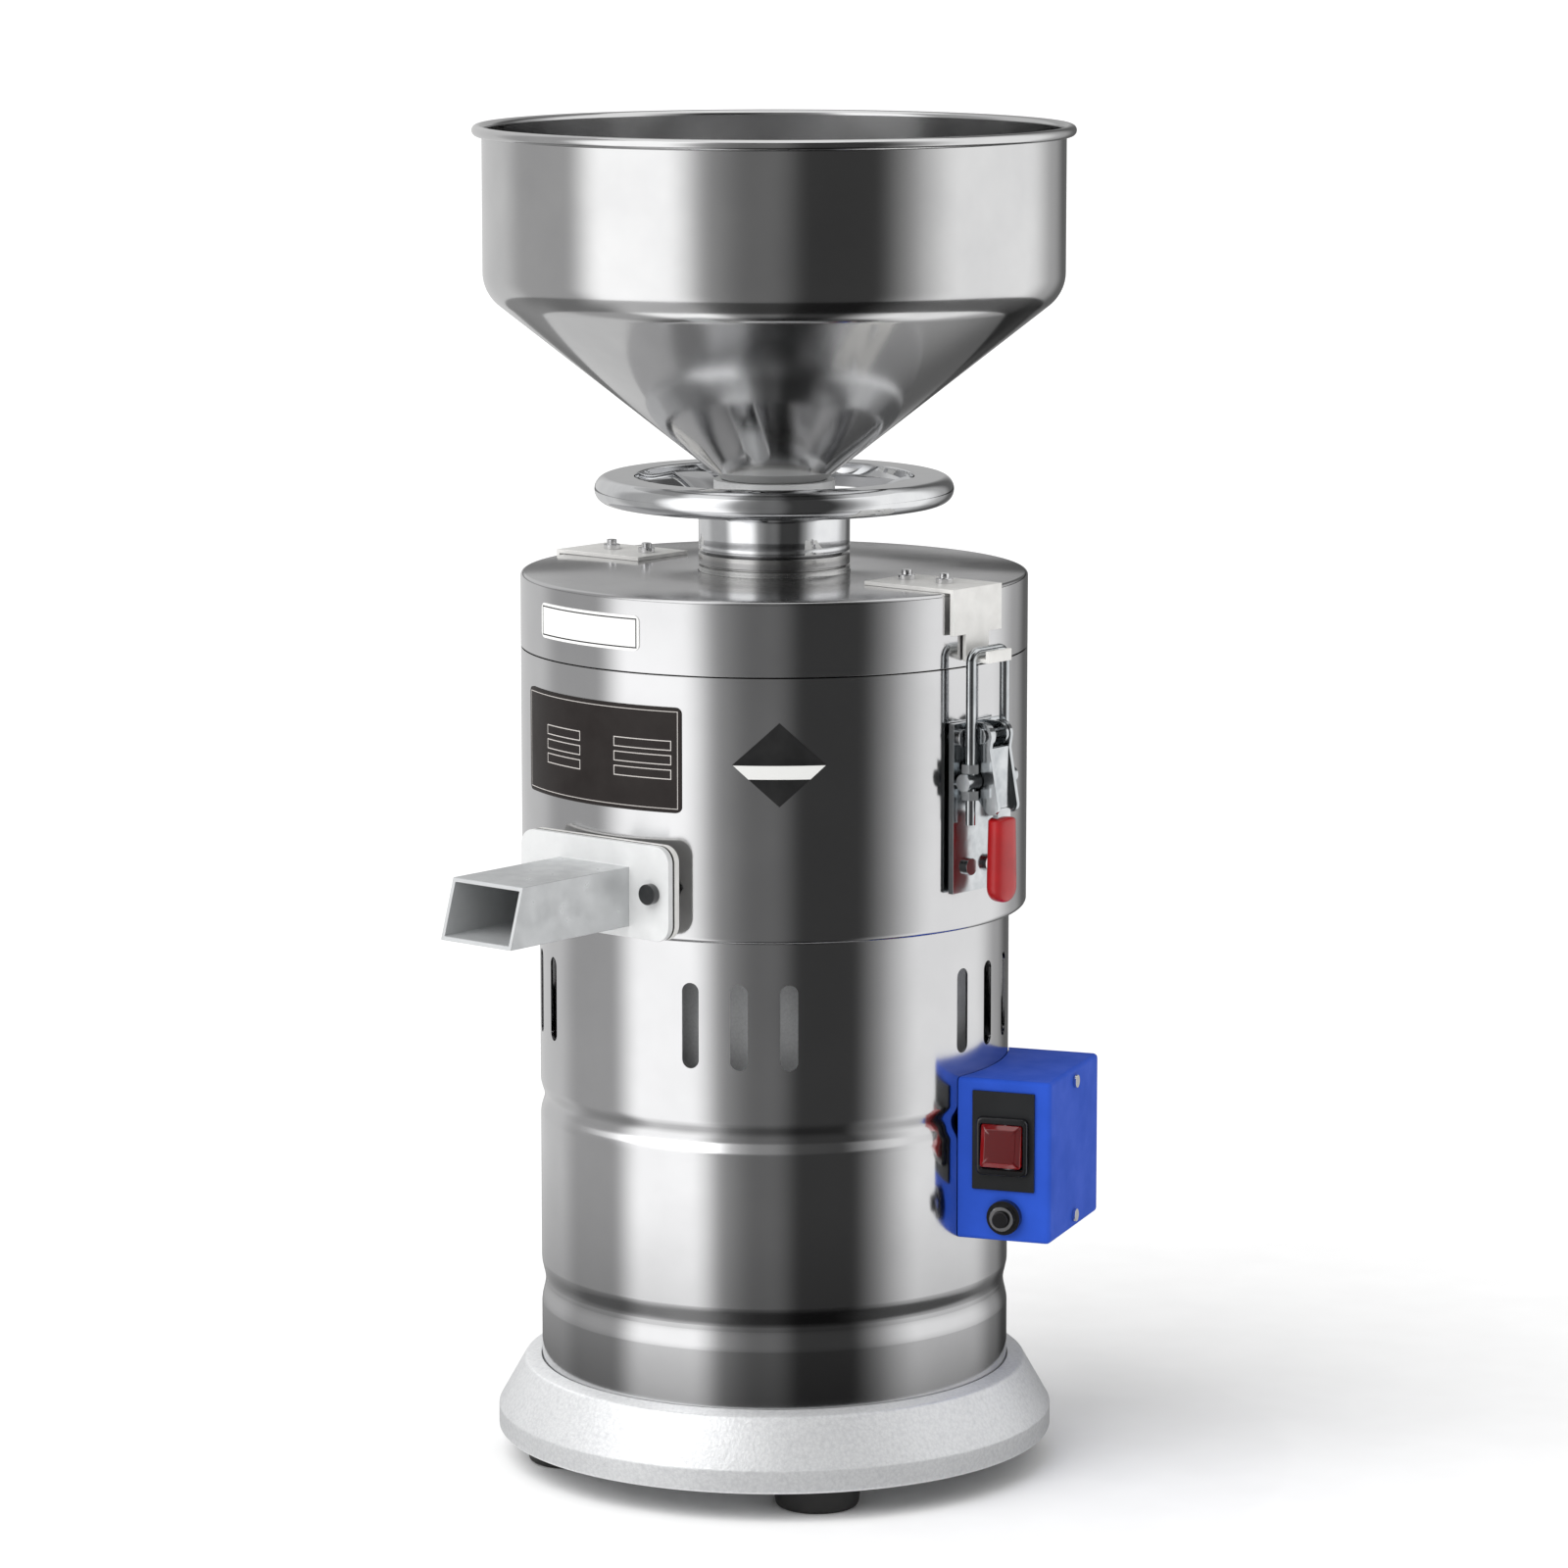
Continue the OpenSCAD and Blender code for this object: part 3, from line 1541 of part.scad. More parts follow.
module rotor_core() {
    outer = stator_bore_r - air_gap;
    color("slategray") {
        tube(outer, shaft_r, stack_low_z, stack_top_z);
        for (z = [stack_low_z - rotor_ring_h, stack_top_z])
            tube(outer - rotor_ring_inset, outer - rotor_ring_inset - rotor_ring_w, z, z + rotor_ring_h);
    }
}

module cooling_fan() {
    color("gray")
    difference() {
        union() {
            disc(fan_hub_r, fan_z, fan_z + fan_plate_t + fan_h);
            disc(fan_r, fan_z, fan_z + fan_plate_t);
            for (i = [0:fan_blades - 1])
                facing(i * 360 / fan_blades)
                    translate([fan_hub_r - cut, -fan_blade_t / 2, fan_z])
                        cube([fan_r - fan_hub_r, fan_blade_t, fan_plate_t + fan_h]);
        }
        disc(shaft_r + run_fit, fan_z - cut, fan_z + fan_plate_t + fan_h + cut);
    }
}

// Stone carrier: a disc on the spindle with a skirt hub and paddles that push the paste out
module stone_carrier() {
    color("gainsboro")
    difference() {
        union() {
            disc(carrier_r, carrier_z, lower_stone_z);
            disc(carrier_hub_r, carrier_hub_z, lower_stone_z);
            for (i = [0:paddle_count - 1])
                facing(i * 360 / paddle_count)
                    translate([collar_out_r + hub_gap, -paddle_t / 2, paddle_z])
                        cube([paddle_out_r - collar_out_r - hub_gap, paddle_t, carrier_z + cut - paddle_z]);
        }
        disc(spindle_r + run_fit, carrier_hub_z - cut, lower_stone_z + cut);
    }
}

// One dressed stone face: furrows cut from the eye to the edge
module furrow_cuts(low) {
    for (i = [0:furrows - 1])
        facing(i * 360 / furrows)
            translate([stone_r * dish_share - cut, stone_r * dish_share / 2, low])
                cube([stone_r, furrow_w, furrow_depth + cut]);
}

module lower_stone() {
    color("dimgray")
    difference() {
        tube(stone_r, spindle_r + run_fit, lower_stone_z, grind_z);
        disc(stone_r * dish_share, grind_z - dish_depth, grind_z + cut);
        furrow_cuts(grind_z - furrow_depth);
    }
}

module shaft_nut() {
    low = grind_z - dish_depth;
    color("silver")
    difference() {
        union() {
            disc(nut_r, low, low + nut_h / 2);
            hexagon(nut_flat, low, low + nut_h + nut_dome_h);
        }
        disc(spindle_r + run_fit, low - cut, low + nut_h);
    }
}

module upper_stone() {
    color("dimgray")
    difference() {
        tube(stone_r, feed_in_r, upper_stone_z, feed_flange_z);
        furrow_cuts(upper_stone_z - cut);
        for (i = [0:stone_bolt_count - 1])
            facing(i * 360 / stone_bolt_count)
                translate([stone_bolt_ring_r, 0, 0])
                    disc(stone_bolt_r + skin, feed_flange_z - stone_bolt_grip, feed_flange_z + cut);
    }
}

// Feed tube: holds the upper stone and slides in the neck, kept from turning by the key
module feed_tube() {
    color("silver")
    difference() {
        union() {
            disc(feed_out_r, feed_flange_z, feed_top_z);
            disc(feed_flange_r, feed_flange_z, feed_flange_z + feed_flange_t);
            disc(shoulder_r, web_z - end_play - shoulder_h, web_z - end_play);
        }
        disc(feed_in_r, feed_flange_z - cut, feed_top_z + cut);
        tube(feed_out_r + cut, feed_out_r - ring_bite, hub_top_z + end_play, hub_top_z + end_play + ring_t);
        facing(180)
            translate([feed_out_r - key_slot_depth, -key_w / 2 - fit, key_low_z - key_travel])
                cube([key_slot_depth + cut, key_w + 2 * fit, key_h + 2 * key_travel]);
        for (i = [0:stone_bolt_count - 1])
            facing(i * 360 / stone_bolt_count)
                translate([stone_bolt_ring_r, 0, 0])
                    disc(stone_bolt_r + skin, feed_flange_z - cut, feed_flange_z + feed_flange_t + cut);
    }
}

module stone_bolts() {
    top = feed_flange_z + feed_flange_t;
    color("silver")
    for (i = [0:stone_bolt_count - 1])
        facing(i * 360 / stone_bolt_count)
            translate([stone_bolt_ring_r, 0, 0]) {
                disc(stone_bolt_r, feed_flange_z - stone_bolt_l, top + cut);
                hexagon(stone_bolt_flat, top, top + stone_bolt_head_h);
            }
}

// Retaining ring above the hub web, split on one side
module retaining_ring() {
    low = hub_top_z + end_play + skin;
    color("gray")
    difference() {
        tube(ring_r, feed_out_r - ring_bite + skin, low, low + ring_t - 2 * skin);
        translate([0, -ring_slit_w / 2, low - cut])
            cube([ring_r + cut, ring_slit_w, ring_t + 2 * cut]);
    }
}

// Handwheel: hub, dropped spokes and a rounded ring
module handwheel() {
    arc_r = wheel_ring_h / 2;
    line_z = hub_z + hub_line_h;
    color("lightgray") {
        difference() {
            disc(hub_r, hub_z, hub_top_z);
            disc(neck_out_r + run_fit, hub_z - cut, web_z);
            disc(feed_out_r + run_fit, hub_z - cut, hub_top_z + cut);
            tube(hub_r + cut, hub_r - hub_line_depth, line_z, line_z + hub_line_depth);
        }
        rotate_extrude()
            polygon(concat(
                [[wheel_in_r + arc_r, wheel_z]],
                [for (i = [0:2 * arc_steps])
                    let (a = -90 + 90 * i / arc_steps)
                    [wheel_r - arc_r + arc_r * cos(a), wheel_z + arc_r + arc_r * sin(a)]],
                [[wheel_in_r + wheel_edge, wheel_top_z]],
                [[wheel_in_r, wheel_top_z - wheel_edge]],
                [[wheel_in_r, wheel_z + arc_r]]
            ));
        for (i = [0:spokes - 1])
            facing(spoke_bearing + i * 360 / spokes)
                wheel_spoke();
    }
}

// Spoke: a flat bar that rises in an S from the hub to the ring
module wheel_spoke() {
    in_x = hub_r - spoke_t;
    out_x = wheel_in_r + wheel_ring_h / 4;
    low = hub_top_z - spoke_t;
    rise = wheel_z + wheel_ring_h / 2 - hub_top_z + spoke_t;
    points = [for (i = [0:arc_steps])
        [in_x + (out_x - in_x) * i / arc_steps, low + rise * (1 - cos(180 * i / arc_steps)) / 2]];
    upright(-spoke_w / 2, spoke_w / 2)
        polygon(concat(points, [for (i = [arc_steps:-1:0]) points[i] + [0, spoke_t]]));
}

// Hopper outline at a depth into the sheet: neck, cone, bend and wall
function hopper_side(depth) = concat(
    [[hopper_neck_r - depth, hopper_z - hopper_neck_h],
        [hopper_neck_r - depth, hopper_z + depth * (1 / cos(cone_angle) - tan(cone_angle))]],
    [for (i = [0:arc_steps])
        let (a = (cone_angle - 90) * (1 - i / arc_steps))
        [bend_r + (hopper_bend_r - depth) * cos(a), bend_z + (hopper_bend_r - depth) * sin(a)]],
    [[hopper_r - depth, rim_z_top]]
);

module hopper() {
    outer = hopper_side(0);
    inner = hopper_side(hopper_sheet);
    color("silver") {
        rotate_extrude()
            polygon(concat(outer, [for (i = [len(inner) - 1:-1:0]) inner[i]]));
        rotate_extrude()
            translate([hopper_r - hopper_sheet / 2 + rim_r, rim_z_top])
                circle(r = rim_r);
    }
}

base_ring();
feet();
motor_shell();
bottom_shield();
stator_core();
stator_winding();
bearing_housing();
lower_bearing();
upper_bearing();
shaft_seal();
tie_bolts();
casing();
grinding_bowl();
outlet_plate();
spout_gasket();
spout();
spout_bolts();
lid();
lid_cap();
lid_neck();
lid_gasket();
dial_ring();
latch_strap_right();
latch_strap_left();
strap_bolts();
clamp_base_right();
clamp_base_left();
clamp_pins();
clamp_screws();
rating_plate();
blank_labels();
control_box();
box_bracket();
box_screws();
switch_plate();
switch_frame();
reset_breaker();
cable_gland();
run_capacitor();
motor_shaft();
rotor_core();
cooling_fan();
stone_carrier();
lower_stone();
shaft_nut();
feed_tube();
upper_stone();
stone_bolts();
retaining_ring();
handwheel();
hopper();
clamp_handle_right();
clamp_handle_left();
clamp_grip_right();
clamp_grip_left();
clamp_ubolt_right();
clamp_ubolt_left();
switch_rocker();
reset_button();
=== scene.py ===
"""Looks of the nut butter grinder: sheets, castings, clamps, switch box and a plain studio."""

import json
import logging
import math
from dataclasses import dataclass
from enum import Enum
from functools import reduce
from typing import Iterable, Mapping, Sequence

import bmesh
import bpy
import numpy as np
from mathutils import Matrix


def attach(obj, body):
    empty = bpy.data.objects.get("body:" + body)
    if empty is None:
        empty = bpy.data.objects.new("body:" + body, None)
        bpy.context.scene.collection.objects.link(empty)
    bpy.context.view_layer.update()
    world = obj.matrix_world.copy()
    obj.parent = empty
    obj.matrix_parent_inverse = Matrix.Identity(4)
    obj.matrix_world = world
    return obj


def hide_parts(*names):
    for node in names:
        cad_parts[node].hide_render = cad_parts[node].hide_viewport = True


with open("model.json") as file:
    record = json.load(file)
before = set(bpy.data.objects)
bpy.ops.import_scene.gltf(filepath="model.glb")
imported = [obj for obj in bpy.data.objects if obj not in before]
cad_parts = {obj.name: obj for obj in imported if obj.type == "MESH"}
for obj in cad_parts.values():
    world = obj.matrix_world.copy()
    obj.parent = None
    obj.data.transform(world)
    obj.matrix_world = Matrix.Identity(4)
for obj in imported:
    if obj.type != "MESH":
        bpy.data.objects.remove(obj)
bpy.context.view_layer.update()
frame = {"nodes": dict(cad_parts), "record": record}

MM = 0.001
UP = np.array([0.0, 0.0, 1.0])
# Points of a mesh nearer than this, in metres, become one.
MERGE = 2e-6
# Half the size of the studio's floor, in metres.
FLOOR = 60.0
log = logging.getLogger("grinder")

Array = np.ndarray
Mesh, Piece = bpy.types.Mesh, bpy.types.Object
Node, Socket, Tree = bpy.types.Node, bpy.types.NodeSocket, bpy.types.NodeTree
Value = float | str | Node | Socket

BODY_OF = {
    node: body
    for body, nodes in frame["record"]["behaviour"]["bodies"].items()
    for node in nodes
}


# ---------------------------------------------------------------- colours and nodes


def linear(code: str) -> tuple[float, ...]:
    """Turns an sRGB hex value into a linear colour.

    Args:
        code: Six hex digits after a hash sign.

    Returns:
        Red, green, blue and an alpha of one.
    """
    value = np.array([int(code[i : i + 2], 16) for i in (1, 3, 5)]) / 255
    out = np.where(value <= 0.04045, value / 12.92, ((value + 0.055) / 1.055) ** 2.4)
    return (*out.tolist(), 1.0)


def add(
    tree: Tree, kind: str, inputs: Mapping[str | int, Value] | None = None, **settings: object
) -> Node:
    """Adds one node with its settings, its values and its links.

    Args:
        tree: The node tree that gets the node.
        kind: The node's type name after its first word.
        inputs: Socket name or number, and what it gets: a number, a hex colour, an output
            socket, or a node whose first output is meant.
        **settings: Properties of the node itself.

    Returns:
        The new node.
    """
    node = tree.nodes.new("ShaderNode" + kind)
    for key, value in settings.items():
        setattr(node, key, value)
    for key, value in (inputs or {}).items():
        value = value.outputs[0] if isinstance(value, Node) else value
        if isinstance(value, Socket):
            tree.links.new(value, node.inputs[key])
        else:
            node.inputs[key].default_value = linear(value) if isinstance(value, str) else value
    return node


def patterns(
    tree: Tree, *layers: tuple[float, float], point: Value | None = None
) -> list[Node]:
    """Adds noise patterns whose scale is one patch to its real width.

    Args:
        tree: The node tree.
        *layers: For each pattern, the width of a patch in mm and the number of finer layers.
        point: Where they are read, or None for the Object coordinates.

    Returns:
        One node for each pattern, with a value from 0 to 1.
    """
    if point is None:
        point = add(tree, "TexCoord").outputs["Object"]
    return [
        add(tree, "TexNoise", {"Vector": point, "Scale": 1 / (width * MM), "Detail": detail})
        for width, detail in layers
    ]


def between(
    tree: Tree,
    pattern: Value,
    low: Value,
    high: float | str,
    start: float = 0.3,
    end: float = 0.7,
    most: float = 1.0,
) -> Socket:
    """Runs from one number or colour to another while a pattern rises from start to end.

    Args:
        tree: The node tree.
        pattern: The pattern.
        low: Number or colour at start.
        high: Number or hex colour at end.
        start: Lower end of the pattern.
        end: Upper end of the pattern.
        most: Greatest share of the second colour.

    Returns:
        The socket of the number or the colour.
    """
    coloured = isinstance(high, str)
    least, greatest = (0.0, most) if coloured else (low, high)
    inputs = {"Value": pattern, "From Min": start, "From Max": end}
    share = add(tree, "MapRange", {**inputs, "To Min": least, "To Max": greatest}).outputs[0]
    if not coloured:
        return share
    return add(tree, "Mix", {"Factor": share, 6: low, 7: high}, data_type="RGBA").outputs[2]


def rings(tree: Tree) -> tuple[Node, Node]:
    """Gives what the marks of turning and spinning about the machine's axis need. A pattern
    read at the ring point, whose x is the distance from the axis and whose z is the height,
    runs in full rings. The direction across the rings is the cross product of the normal
    and the direction round the axis, so it lies in the surface.

    Args:
        tree: The node tree.

    Returns:
        The node of the ring point and that of the direction across the rings.
    """
    x, y, z = add(tree, "SeparateXYZ", {0: add(tree, "TexCoord").outputs["Object"]}).outputs
    flat = add(tree, "CombineXYZ", {"X": x, "Y": y})
    radius = add(tree, "VectorMath", {0: flat}, operation="LENGTH").outputs["Value"]
    back = add(tree, "Math", {0: y, 1: -1.0}, operation="MULTIPLY")
    around = add(tree, "CombineXYZ", {"X": back, "Y": x})
    normal = add(tree, "NewGeometry").outputs["Normal"]
    cross = add(tree, "VectorMath", {0: normal, 1: around}, operation="CROSS_PRODUCT")
    across = add(tree, "VectorMath", {0: cross}, operation="NORMALIZE")
    return add(tree, "CombineXYZ", {"X": radius, "Z": z}), across


# ---------------------------------------------------------------- kinds of finish


@dataclass(frozen=True)
class Finish:
    """A surface finish. A pattern runs its colour into a second one, up to a share of it,
    and swings its roughness between two shares of itself. Each kind builds its shader."""

    name: str
    colour: str = "#ffffff"
    second: str = "#fcfcfc"
    roughness: float = 0.9
    depth_mm: float = 0.0
    swing: tuple[float, float] = (1.0, 1.0)
    most_second: float = 1.0

    def material(self) -> bpy.types.Material:
        """Gives the material of this finish, and builds it the first time.

        Returns:
            The material, which has the finish's name.
        """
        made = bpy.data.materials.get(self.name)
        if made is None:
            made = bpy.data.materials.new(self.name)
            made.use_nodes = True
            made.node_tree.nodes.clear()
            add(made.node_tree, "OutputMaterial", {"Surface": self.build(made.node_tree)})
        return made

    def build(self, tree: Tree) -> Node:
        """Builds the shader.

        Args:
            tree: The material's node tree.

        Returns:
            The shader's node.
        """
        raise NotImplementedError

    def worn(self, tree: Tree, pattern: Value) -> Socket:
        """Gives the roughness, which a pattern swings."""
        return between(tree, pattern, *(self.roughness * share for share in self.swing))

    def mottled(self, tree: Tree, pattern: Value) -> dict[str, Socket]:
        """Lets one pattern drive the colour and the roughness.

        Args:
            tree: The material's node tree.
            pattern: The pattern.

        Returns:
            What the shader's two sockets get, by their names.
        """
        colours = self.colour, self.second
        return {
            "Base Color": between(tree, pattern, *colours, most=self.most_second),
            "Roughness": self.worn(tree, pattern),
        }

    def raised(self, tree: Tree, height: Value, sockets: Mapping[str, Value]) -> Node:
        """Adds the shader over a relief that is depth_mm deep from height 0 to height 1.

        Args:
            tree: The material's node tree.
            height: The height pattern.
            sockets: What the shader's other sockets get.

        Returns:
            The shader's node.
        """
        relief = {"Height": height, "Strength": 1.0, "Distance": self.depth_mm * MM}
        return add(tree, "BsdfPrincipled", {**sockets, "Normal": add(tree, "Bump", relief)})


@dataclass(frozen=True)
class SpunSheet(Finish):
    """Stainless sheet that was spun or rolled, then polished in rings. The fine rings draw a
    highlight out across them, so upright walls show crisp upright bands of light and dark."""

    colour: str = "#d8d8d8"
    second: str = "#c9c9ca"
    roughness: float = 0.13
    depth_mm: float = 0.0012
    swing: tuple[float, float] = (0.85, 1.2)
    most_second: float = 0.6
    stretch: float = 0.55
    line_mm: float = 0.9
    line_layers: float = 3.0
    cloud_mm: float = 38.0

    def build(self, tree: Tree) -> Node:
        """Rings in the relief. Clouds, or the rings where it has none, mottle it.

        Args:
            tree: The material's node tree.

        Returns:
            The shader's node.
        """
        point, across = rings(tree)
        [lines] = patterns(tree, (self.line_mm, self.line_layers), point=point)
        [mottle] = patterns(tree, (self.cloud_mm, 3.0)) if self.cloud_mm else [lines]
        brushed = {"Metallic": 1.0, "Anisotropic": self.stretch, "Tangent": across}
        return self.raised(tree, lines, {**self.mottled(tree, mottle), **brushed})


@dataclass(frozen=True)
class TurnedMetal(SpunSheet):
    """Metal turned on a lathe about the machine's axis, mottled by its fine tool marks."""

    colour: str = "#c9c9c8"
    second: str = "#b4b4b4"
    roughness: float = 0.22
    depth_mm: float = 0.004
    swing: tuple[float, float] = (0.8, 1.3)
    most_second: float = 1.0
    stretch: float = 0.6
    line_mm: float = 0.7
    line_layers: float = 2.0
    cloud_mm: float = 0.0


@dataclass(frozen=True)
class BrightMetal(Finish):
    """Plated, ground or polished metal. A slow wave in the relief bends its reflections, and
    a fine grain keeps them from being perfect."""

    colour: str = "#dcdddd"
    second: str = "#cfd0d1"
    roughness: float = 0.07
    depth_mm: float = 0.02
    swing: tuple[float, float] = (0.8, 1.4)
    wave_mm: float = 18.0
    grain_mm: float = 0.6
    grain_depth_mm: float = 0.0008
    patch_mm: float = 9.0
    metallic: float = 1.0

    def build(self, tree: Tree) -> Node:
        """Slow wave and fine grain in the relief, patches in colour and roughness.

        Args:
            tree: The material's node tree.

        Returns:
            The shader's node.
        """
        layers = (self.wave_mm, 1.0), (self.grain_mm, 2.0), (self.patch_mm, 3.0)
        wave, grain, patches = patterns(tree, *layers)
        share = self.grain_depth_mm / self.depth_mm
        height = add(tree, "Math", {0: grain, 1: share, 2: wave}, operation="MULTIPLY_ADD")
        sockets = {**self.mottled(tree, patches), "Metallic": self.metallic}
        return self.raised(tree, height, sockets)


@dataclass(frozen=True)
class CastMetal(Finish):
    """Sand-cast or die-cast metal. The sand leaves a pebbled skin, whose tops are worn a
    little brighter than its pits, which have the second colour."""

    colour: str = "#e2e3e4"
    second: str = "#cdced0"
    roughness: float = 0.42
    depth_mm: float = 0.13
    swing: tuple[float, float] = (0.85, 1.25)
    grain_mm: float = 1.7
    patch_mm: float = 26.0
    metallic: float = 0.4

    def build(self, tree: Tree) -> Node:
        """Pebbles: cells of a cell pattern, less high at their rims, over finer noise.

        Args:
            tree: The material's node tree.

        Returns:
            The shader's node.
        """
        point = add(tree, "TexCoord").outputs["Object"]
        size = {"Vector": point, "Scale": 1 / (self.grain_mm * MM)}
        cells = add(tree, "TexVoronoi", size, feature="SMOOTH_F1")
        fine, patches = patterns(tree, (self.grain_mm * 0.45, 3.0), (self.patch_mm, 3.0))
        low = add(tree, "Math", {0: fine, 1: 0.9}, operation="MULTIPLY")
        height = add(tree, "Math", {0: cells, 1: -0.8, 2: low}, operation="MULTIPLY_ADD")
        worn = add(tree, "Math", {0: patches, 1: 0.35, 2: height}, operation="MULTIPLY_ADD")
        sockets = {
            "Base Color": between(tree, worn, self.second, self.colour, -0.2, 0.5),
            "Metallic": self.metallic,
            "Roughness": self.worn(tree, fine),
        }
        return self.raised(tree, height, sockets)


@dataclass(frozen=True)
class Moulded(Finish):
    """Moulded, dipped or powder-coated skin with a fine even grain."""

    roughness: float = 0.4
    depth_mm: float = 0.01
    swing: tuple[float, float] = (0.88, 1.15)
    grain_mm: float = 0.8
    cloud_mm: float = 17.0
    coat: float = 0.0
    coat_roughness: float = 0.15
    soft: float = 0.0
    soft_mm: float = 1.5
    gloss: float = 0.5

    def build(self, tree: Tree) -> Node:
        """Grain in the relief, slow clouds in the colour and the roughness.

        Args:
            tree: The material's node tree.

        Returns:
            The shader's node.
        """
        grain, clouds = patterns(tree, (self.grain_mm, 2.0), (self.cloud_mm, 4.0))
        sockets = {
            **self.mottled(tree, clouds),
            "Specular IOR Level": self.gloss,
            "Coat Weight": self.coat,
            "Coat Roughness": self.coat_roughness,
            "Subsurface Weight": self.soft,
            "Subsurface Scale": self.soft_mm * MM,
        }
        return self.raised(tree, grain, sockets)


@dataclass(frozen=True)
class ClearPlastic(Finish):
    """Tinted clear polycarbonate, moulded with a polished face over a lamp chamber, so its body
    glows a little. Its bevels are painted lighter: a painted sheen, brighter at grazing angles."""

    colour: str = "#c4161b"
    second: str = "#4e060a"
    roughness: float = 0.12
    depth_mm: float = 0.006
    ripple_mm: float = 2.2
    ior: float = 1.58
    soft: float = 0.4
    soft_mm: float = 2.5

    def build(self, tree: Tree) -> Node:
        """Painted sheen: the dark second colour seen straight on, the lighter first one at
        grazing angles.

        Args:
            tree: The material's node tree.

        Returns:
            The shader's node.
        """
        # painted sheen: the colour turns lighter towards grazing angles, so the bevels look lit
        facing = add(tree, "LayerWeight", {"Blend": 0.35}).outputs["Facing"]
        [ripples] = patterns(tree, (self.ripple_mm, 2.0))
        sockets = {
            "Base Color": between(tree, facing, self.second, self.colour, 0.0, 0.8),
            "Roughness": self.roughness,
            "IOR": self.ior,
            "Subsurface Weight": self.soft,
            "Subsurface Scale": self.soft_mm * MM,
            "Coat Weight": 1.0,
            "Coat Roughness": 0.03,
        }
        return self.raised(tree, ripples, sockets)


@dataclass(frozen=True)
class Layered(Finish):
    """Punched sheets stacked along the shaft, or wire wound in layers: thin lines of the
    second colour, one pitch apart. Drawn coarser than the real 0.5 mm to show."""

    colour: str = "#8d9094"
    second: str = "#3c3e42"
    roughness: float = 0.45
    depth_mm: float = 0.18
    pitch_mm: float = 1.2
    metallic: float = 0.9
    slant: float = 0.0

    def build(self, tree: Tree) -> Node:
        """A wave along the height, bent a little by noise. The texture's wave is 0.314 long
        at scale 1.

        Args:
            tree: The material's node tree.

        Returns:
            The shader's node.
        """
        inputs = {
            "Vector": add(tree, "TexCoord").outputs["Object"],
            "Scale": 0.314 / (self.pitch_mm * MM),
            "Distortion": self.slant,
            "Detail": 1.0,
        }
        wave = add(tree, "TexWave", inputs, bands_direction="Z").outputs["Fac"]
        sockets = {
            "Base Color": between(tree, wave, self.second, self.colour, 0.1, 0.6),
            "Metallic": self.metallic,
            "Roughness": self.roughness,
        }
        return self.raised(tree, wave, sockets)


@dataclass(frozen=True)
class Millstone(Finish):
    """Bonded corundum: dark and pale grits in a grey bond, open and rough."""

    colour: str = "#3a3a38"
    second: str = "#8f8d86"
    roughness: float = 0.88
    depth_mm: float = 0.3
    grit_mm: float = 1.1

    def build(self, tree: Tree) -> Node:
        """Each cell of the pattern is a grit with its own shade.

        Args:
            tree: The material's node tree.

        Returns:
            The shader's node.
        """
        point = add(tree, "TexCoord").outputs["Object"]
        grits = add(tree, "TexVoronoi", {"Vector": point, "Scale": 1 / (self.grit_mm * MM)})
        shade = add(tree, "SeparateColor", {0: grits.outputs["Color"]})
        shades = {"Factor": shade, 6: self.colour, 7: self.second}
        colour = add(tree, "Mix", shades, data_type="RGBA").outputs[2]
        return self.raised(tree, grits, {"Base Color": colour, "Roughness": self.roughness})


@dataclass(frozen=True)
class Field:
    """An outlined or filled rectangle on a plate, in mm from the plate's middle."""

    x: float
    y: float
    w: float
    h: float
    line: float
    filled: bool = False


@dataclass(frozen=True)
class PrintedFace(Finish):
    """Plate or film printed in the second colour, read from its own UV map in mm."""

    roughness: float = 0.42
    depth_mm: float = 0.002
    swing: tuple[float, float] = (0.9, 1.15)
    fields: tuple[Field, ...] = ()
    cloud_mm: float = 12.0
    grain_mm: float = 0.7
    coat: float = 0.0
    gloss: float = 0.15

    def outline(self, tree: Tree, place: Sequence[Socket], field: Field) -> Node:
        """Gives 1 on the outline of a field and 0 elsewhere: the distance to the rectangle
        is the larger of the two side distances, and a filled field counts all inside it.

        Args:
            tree: The material's node tree.
            place: Place across the plate and up the plate.
            field: The rectangle.

        Returns:
            The mask's node.
        """
        sides = []
        for at, middle, size in zip(place, (field.x, field.y), (field.w, field.h)):
            from_middle = add(tree, "Math", {0: at, 1: middle}, operation="SUBTRACT")
            away = add(tree, "Math", {0: from_middle}, operation="ABSOLUTE")
            sides.append(add(tree, "Math", {0: away, 1: size / 2}, operation="SUBTRACT"))
        far = add(tree, "Math", dict(enumerate(sides)), operation="MAXIMUM")
        near = far if field.filled else add(tree, "Math", {0: far}, operation="ABSOLUTE")
        return add(tree, "Math", {0: near, 1: field.line / 2}, operation="LESS_THAN")

    def build(self, tree: Tree) -> Node:
        """Ground colour with faint clouds, and ink where any outline runs.

        Args:
            tree: The material's node tree.

        Returns:
            The shader's node.
        """
        uv = add(tree, "UVMap", uv_map="face")
        place = add(tree, "SeparateXYZ", {0: uv}).outputs[:2]
        mask = reduce(
            lambda one, other: add(tree, "Math", {0: one, 1: other}, operation="MAXIMUM"),
            [self.outline(tree, place, field) for field in self.fields],
        )
        clouds, grain = patterns(tree, (self.cloud_mm, 3.0), (self.grain_mm, 1.0))
        ground = between(tree, clouds, self.colour, self.second, 0.0, 1.0, 0.03)
        inks = {"Factor": mask, 6: ground, 7: self.second}
        sockets = {
            "Base Color": add(tree, "Mix", inks, data_type="RGBA").outputs[2],
            "Roughness": self.worn(tree, clouds),
            "Specular IOR Level": self.gloss,
            "Coat Weight": self.coat,
            "Coat Roughness": 0.12,
        }
        return self.raised(tree, grain, sockets)


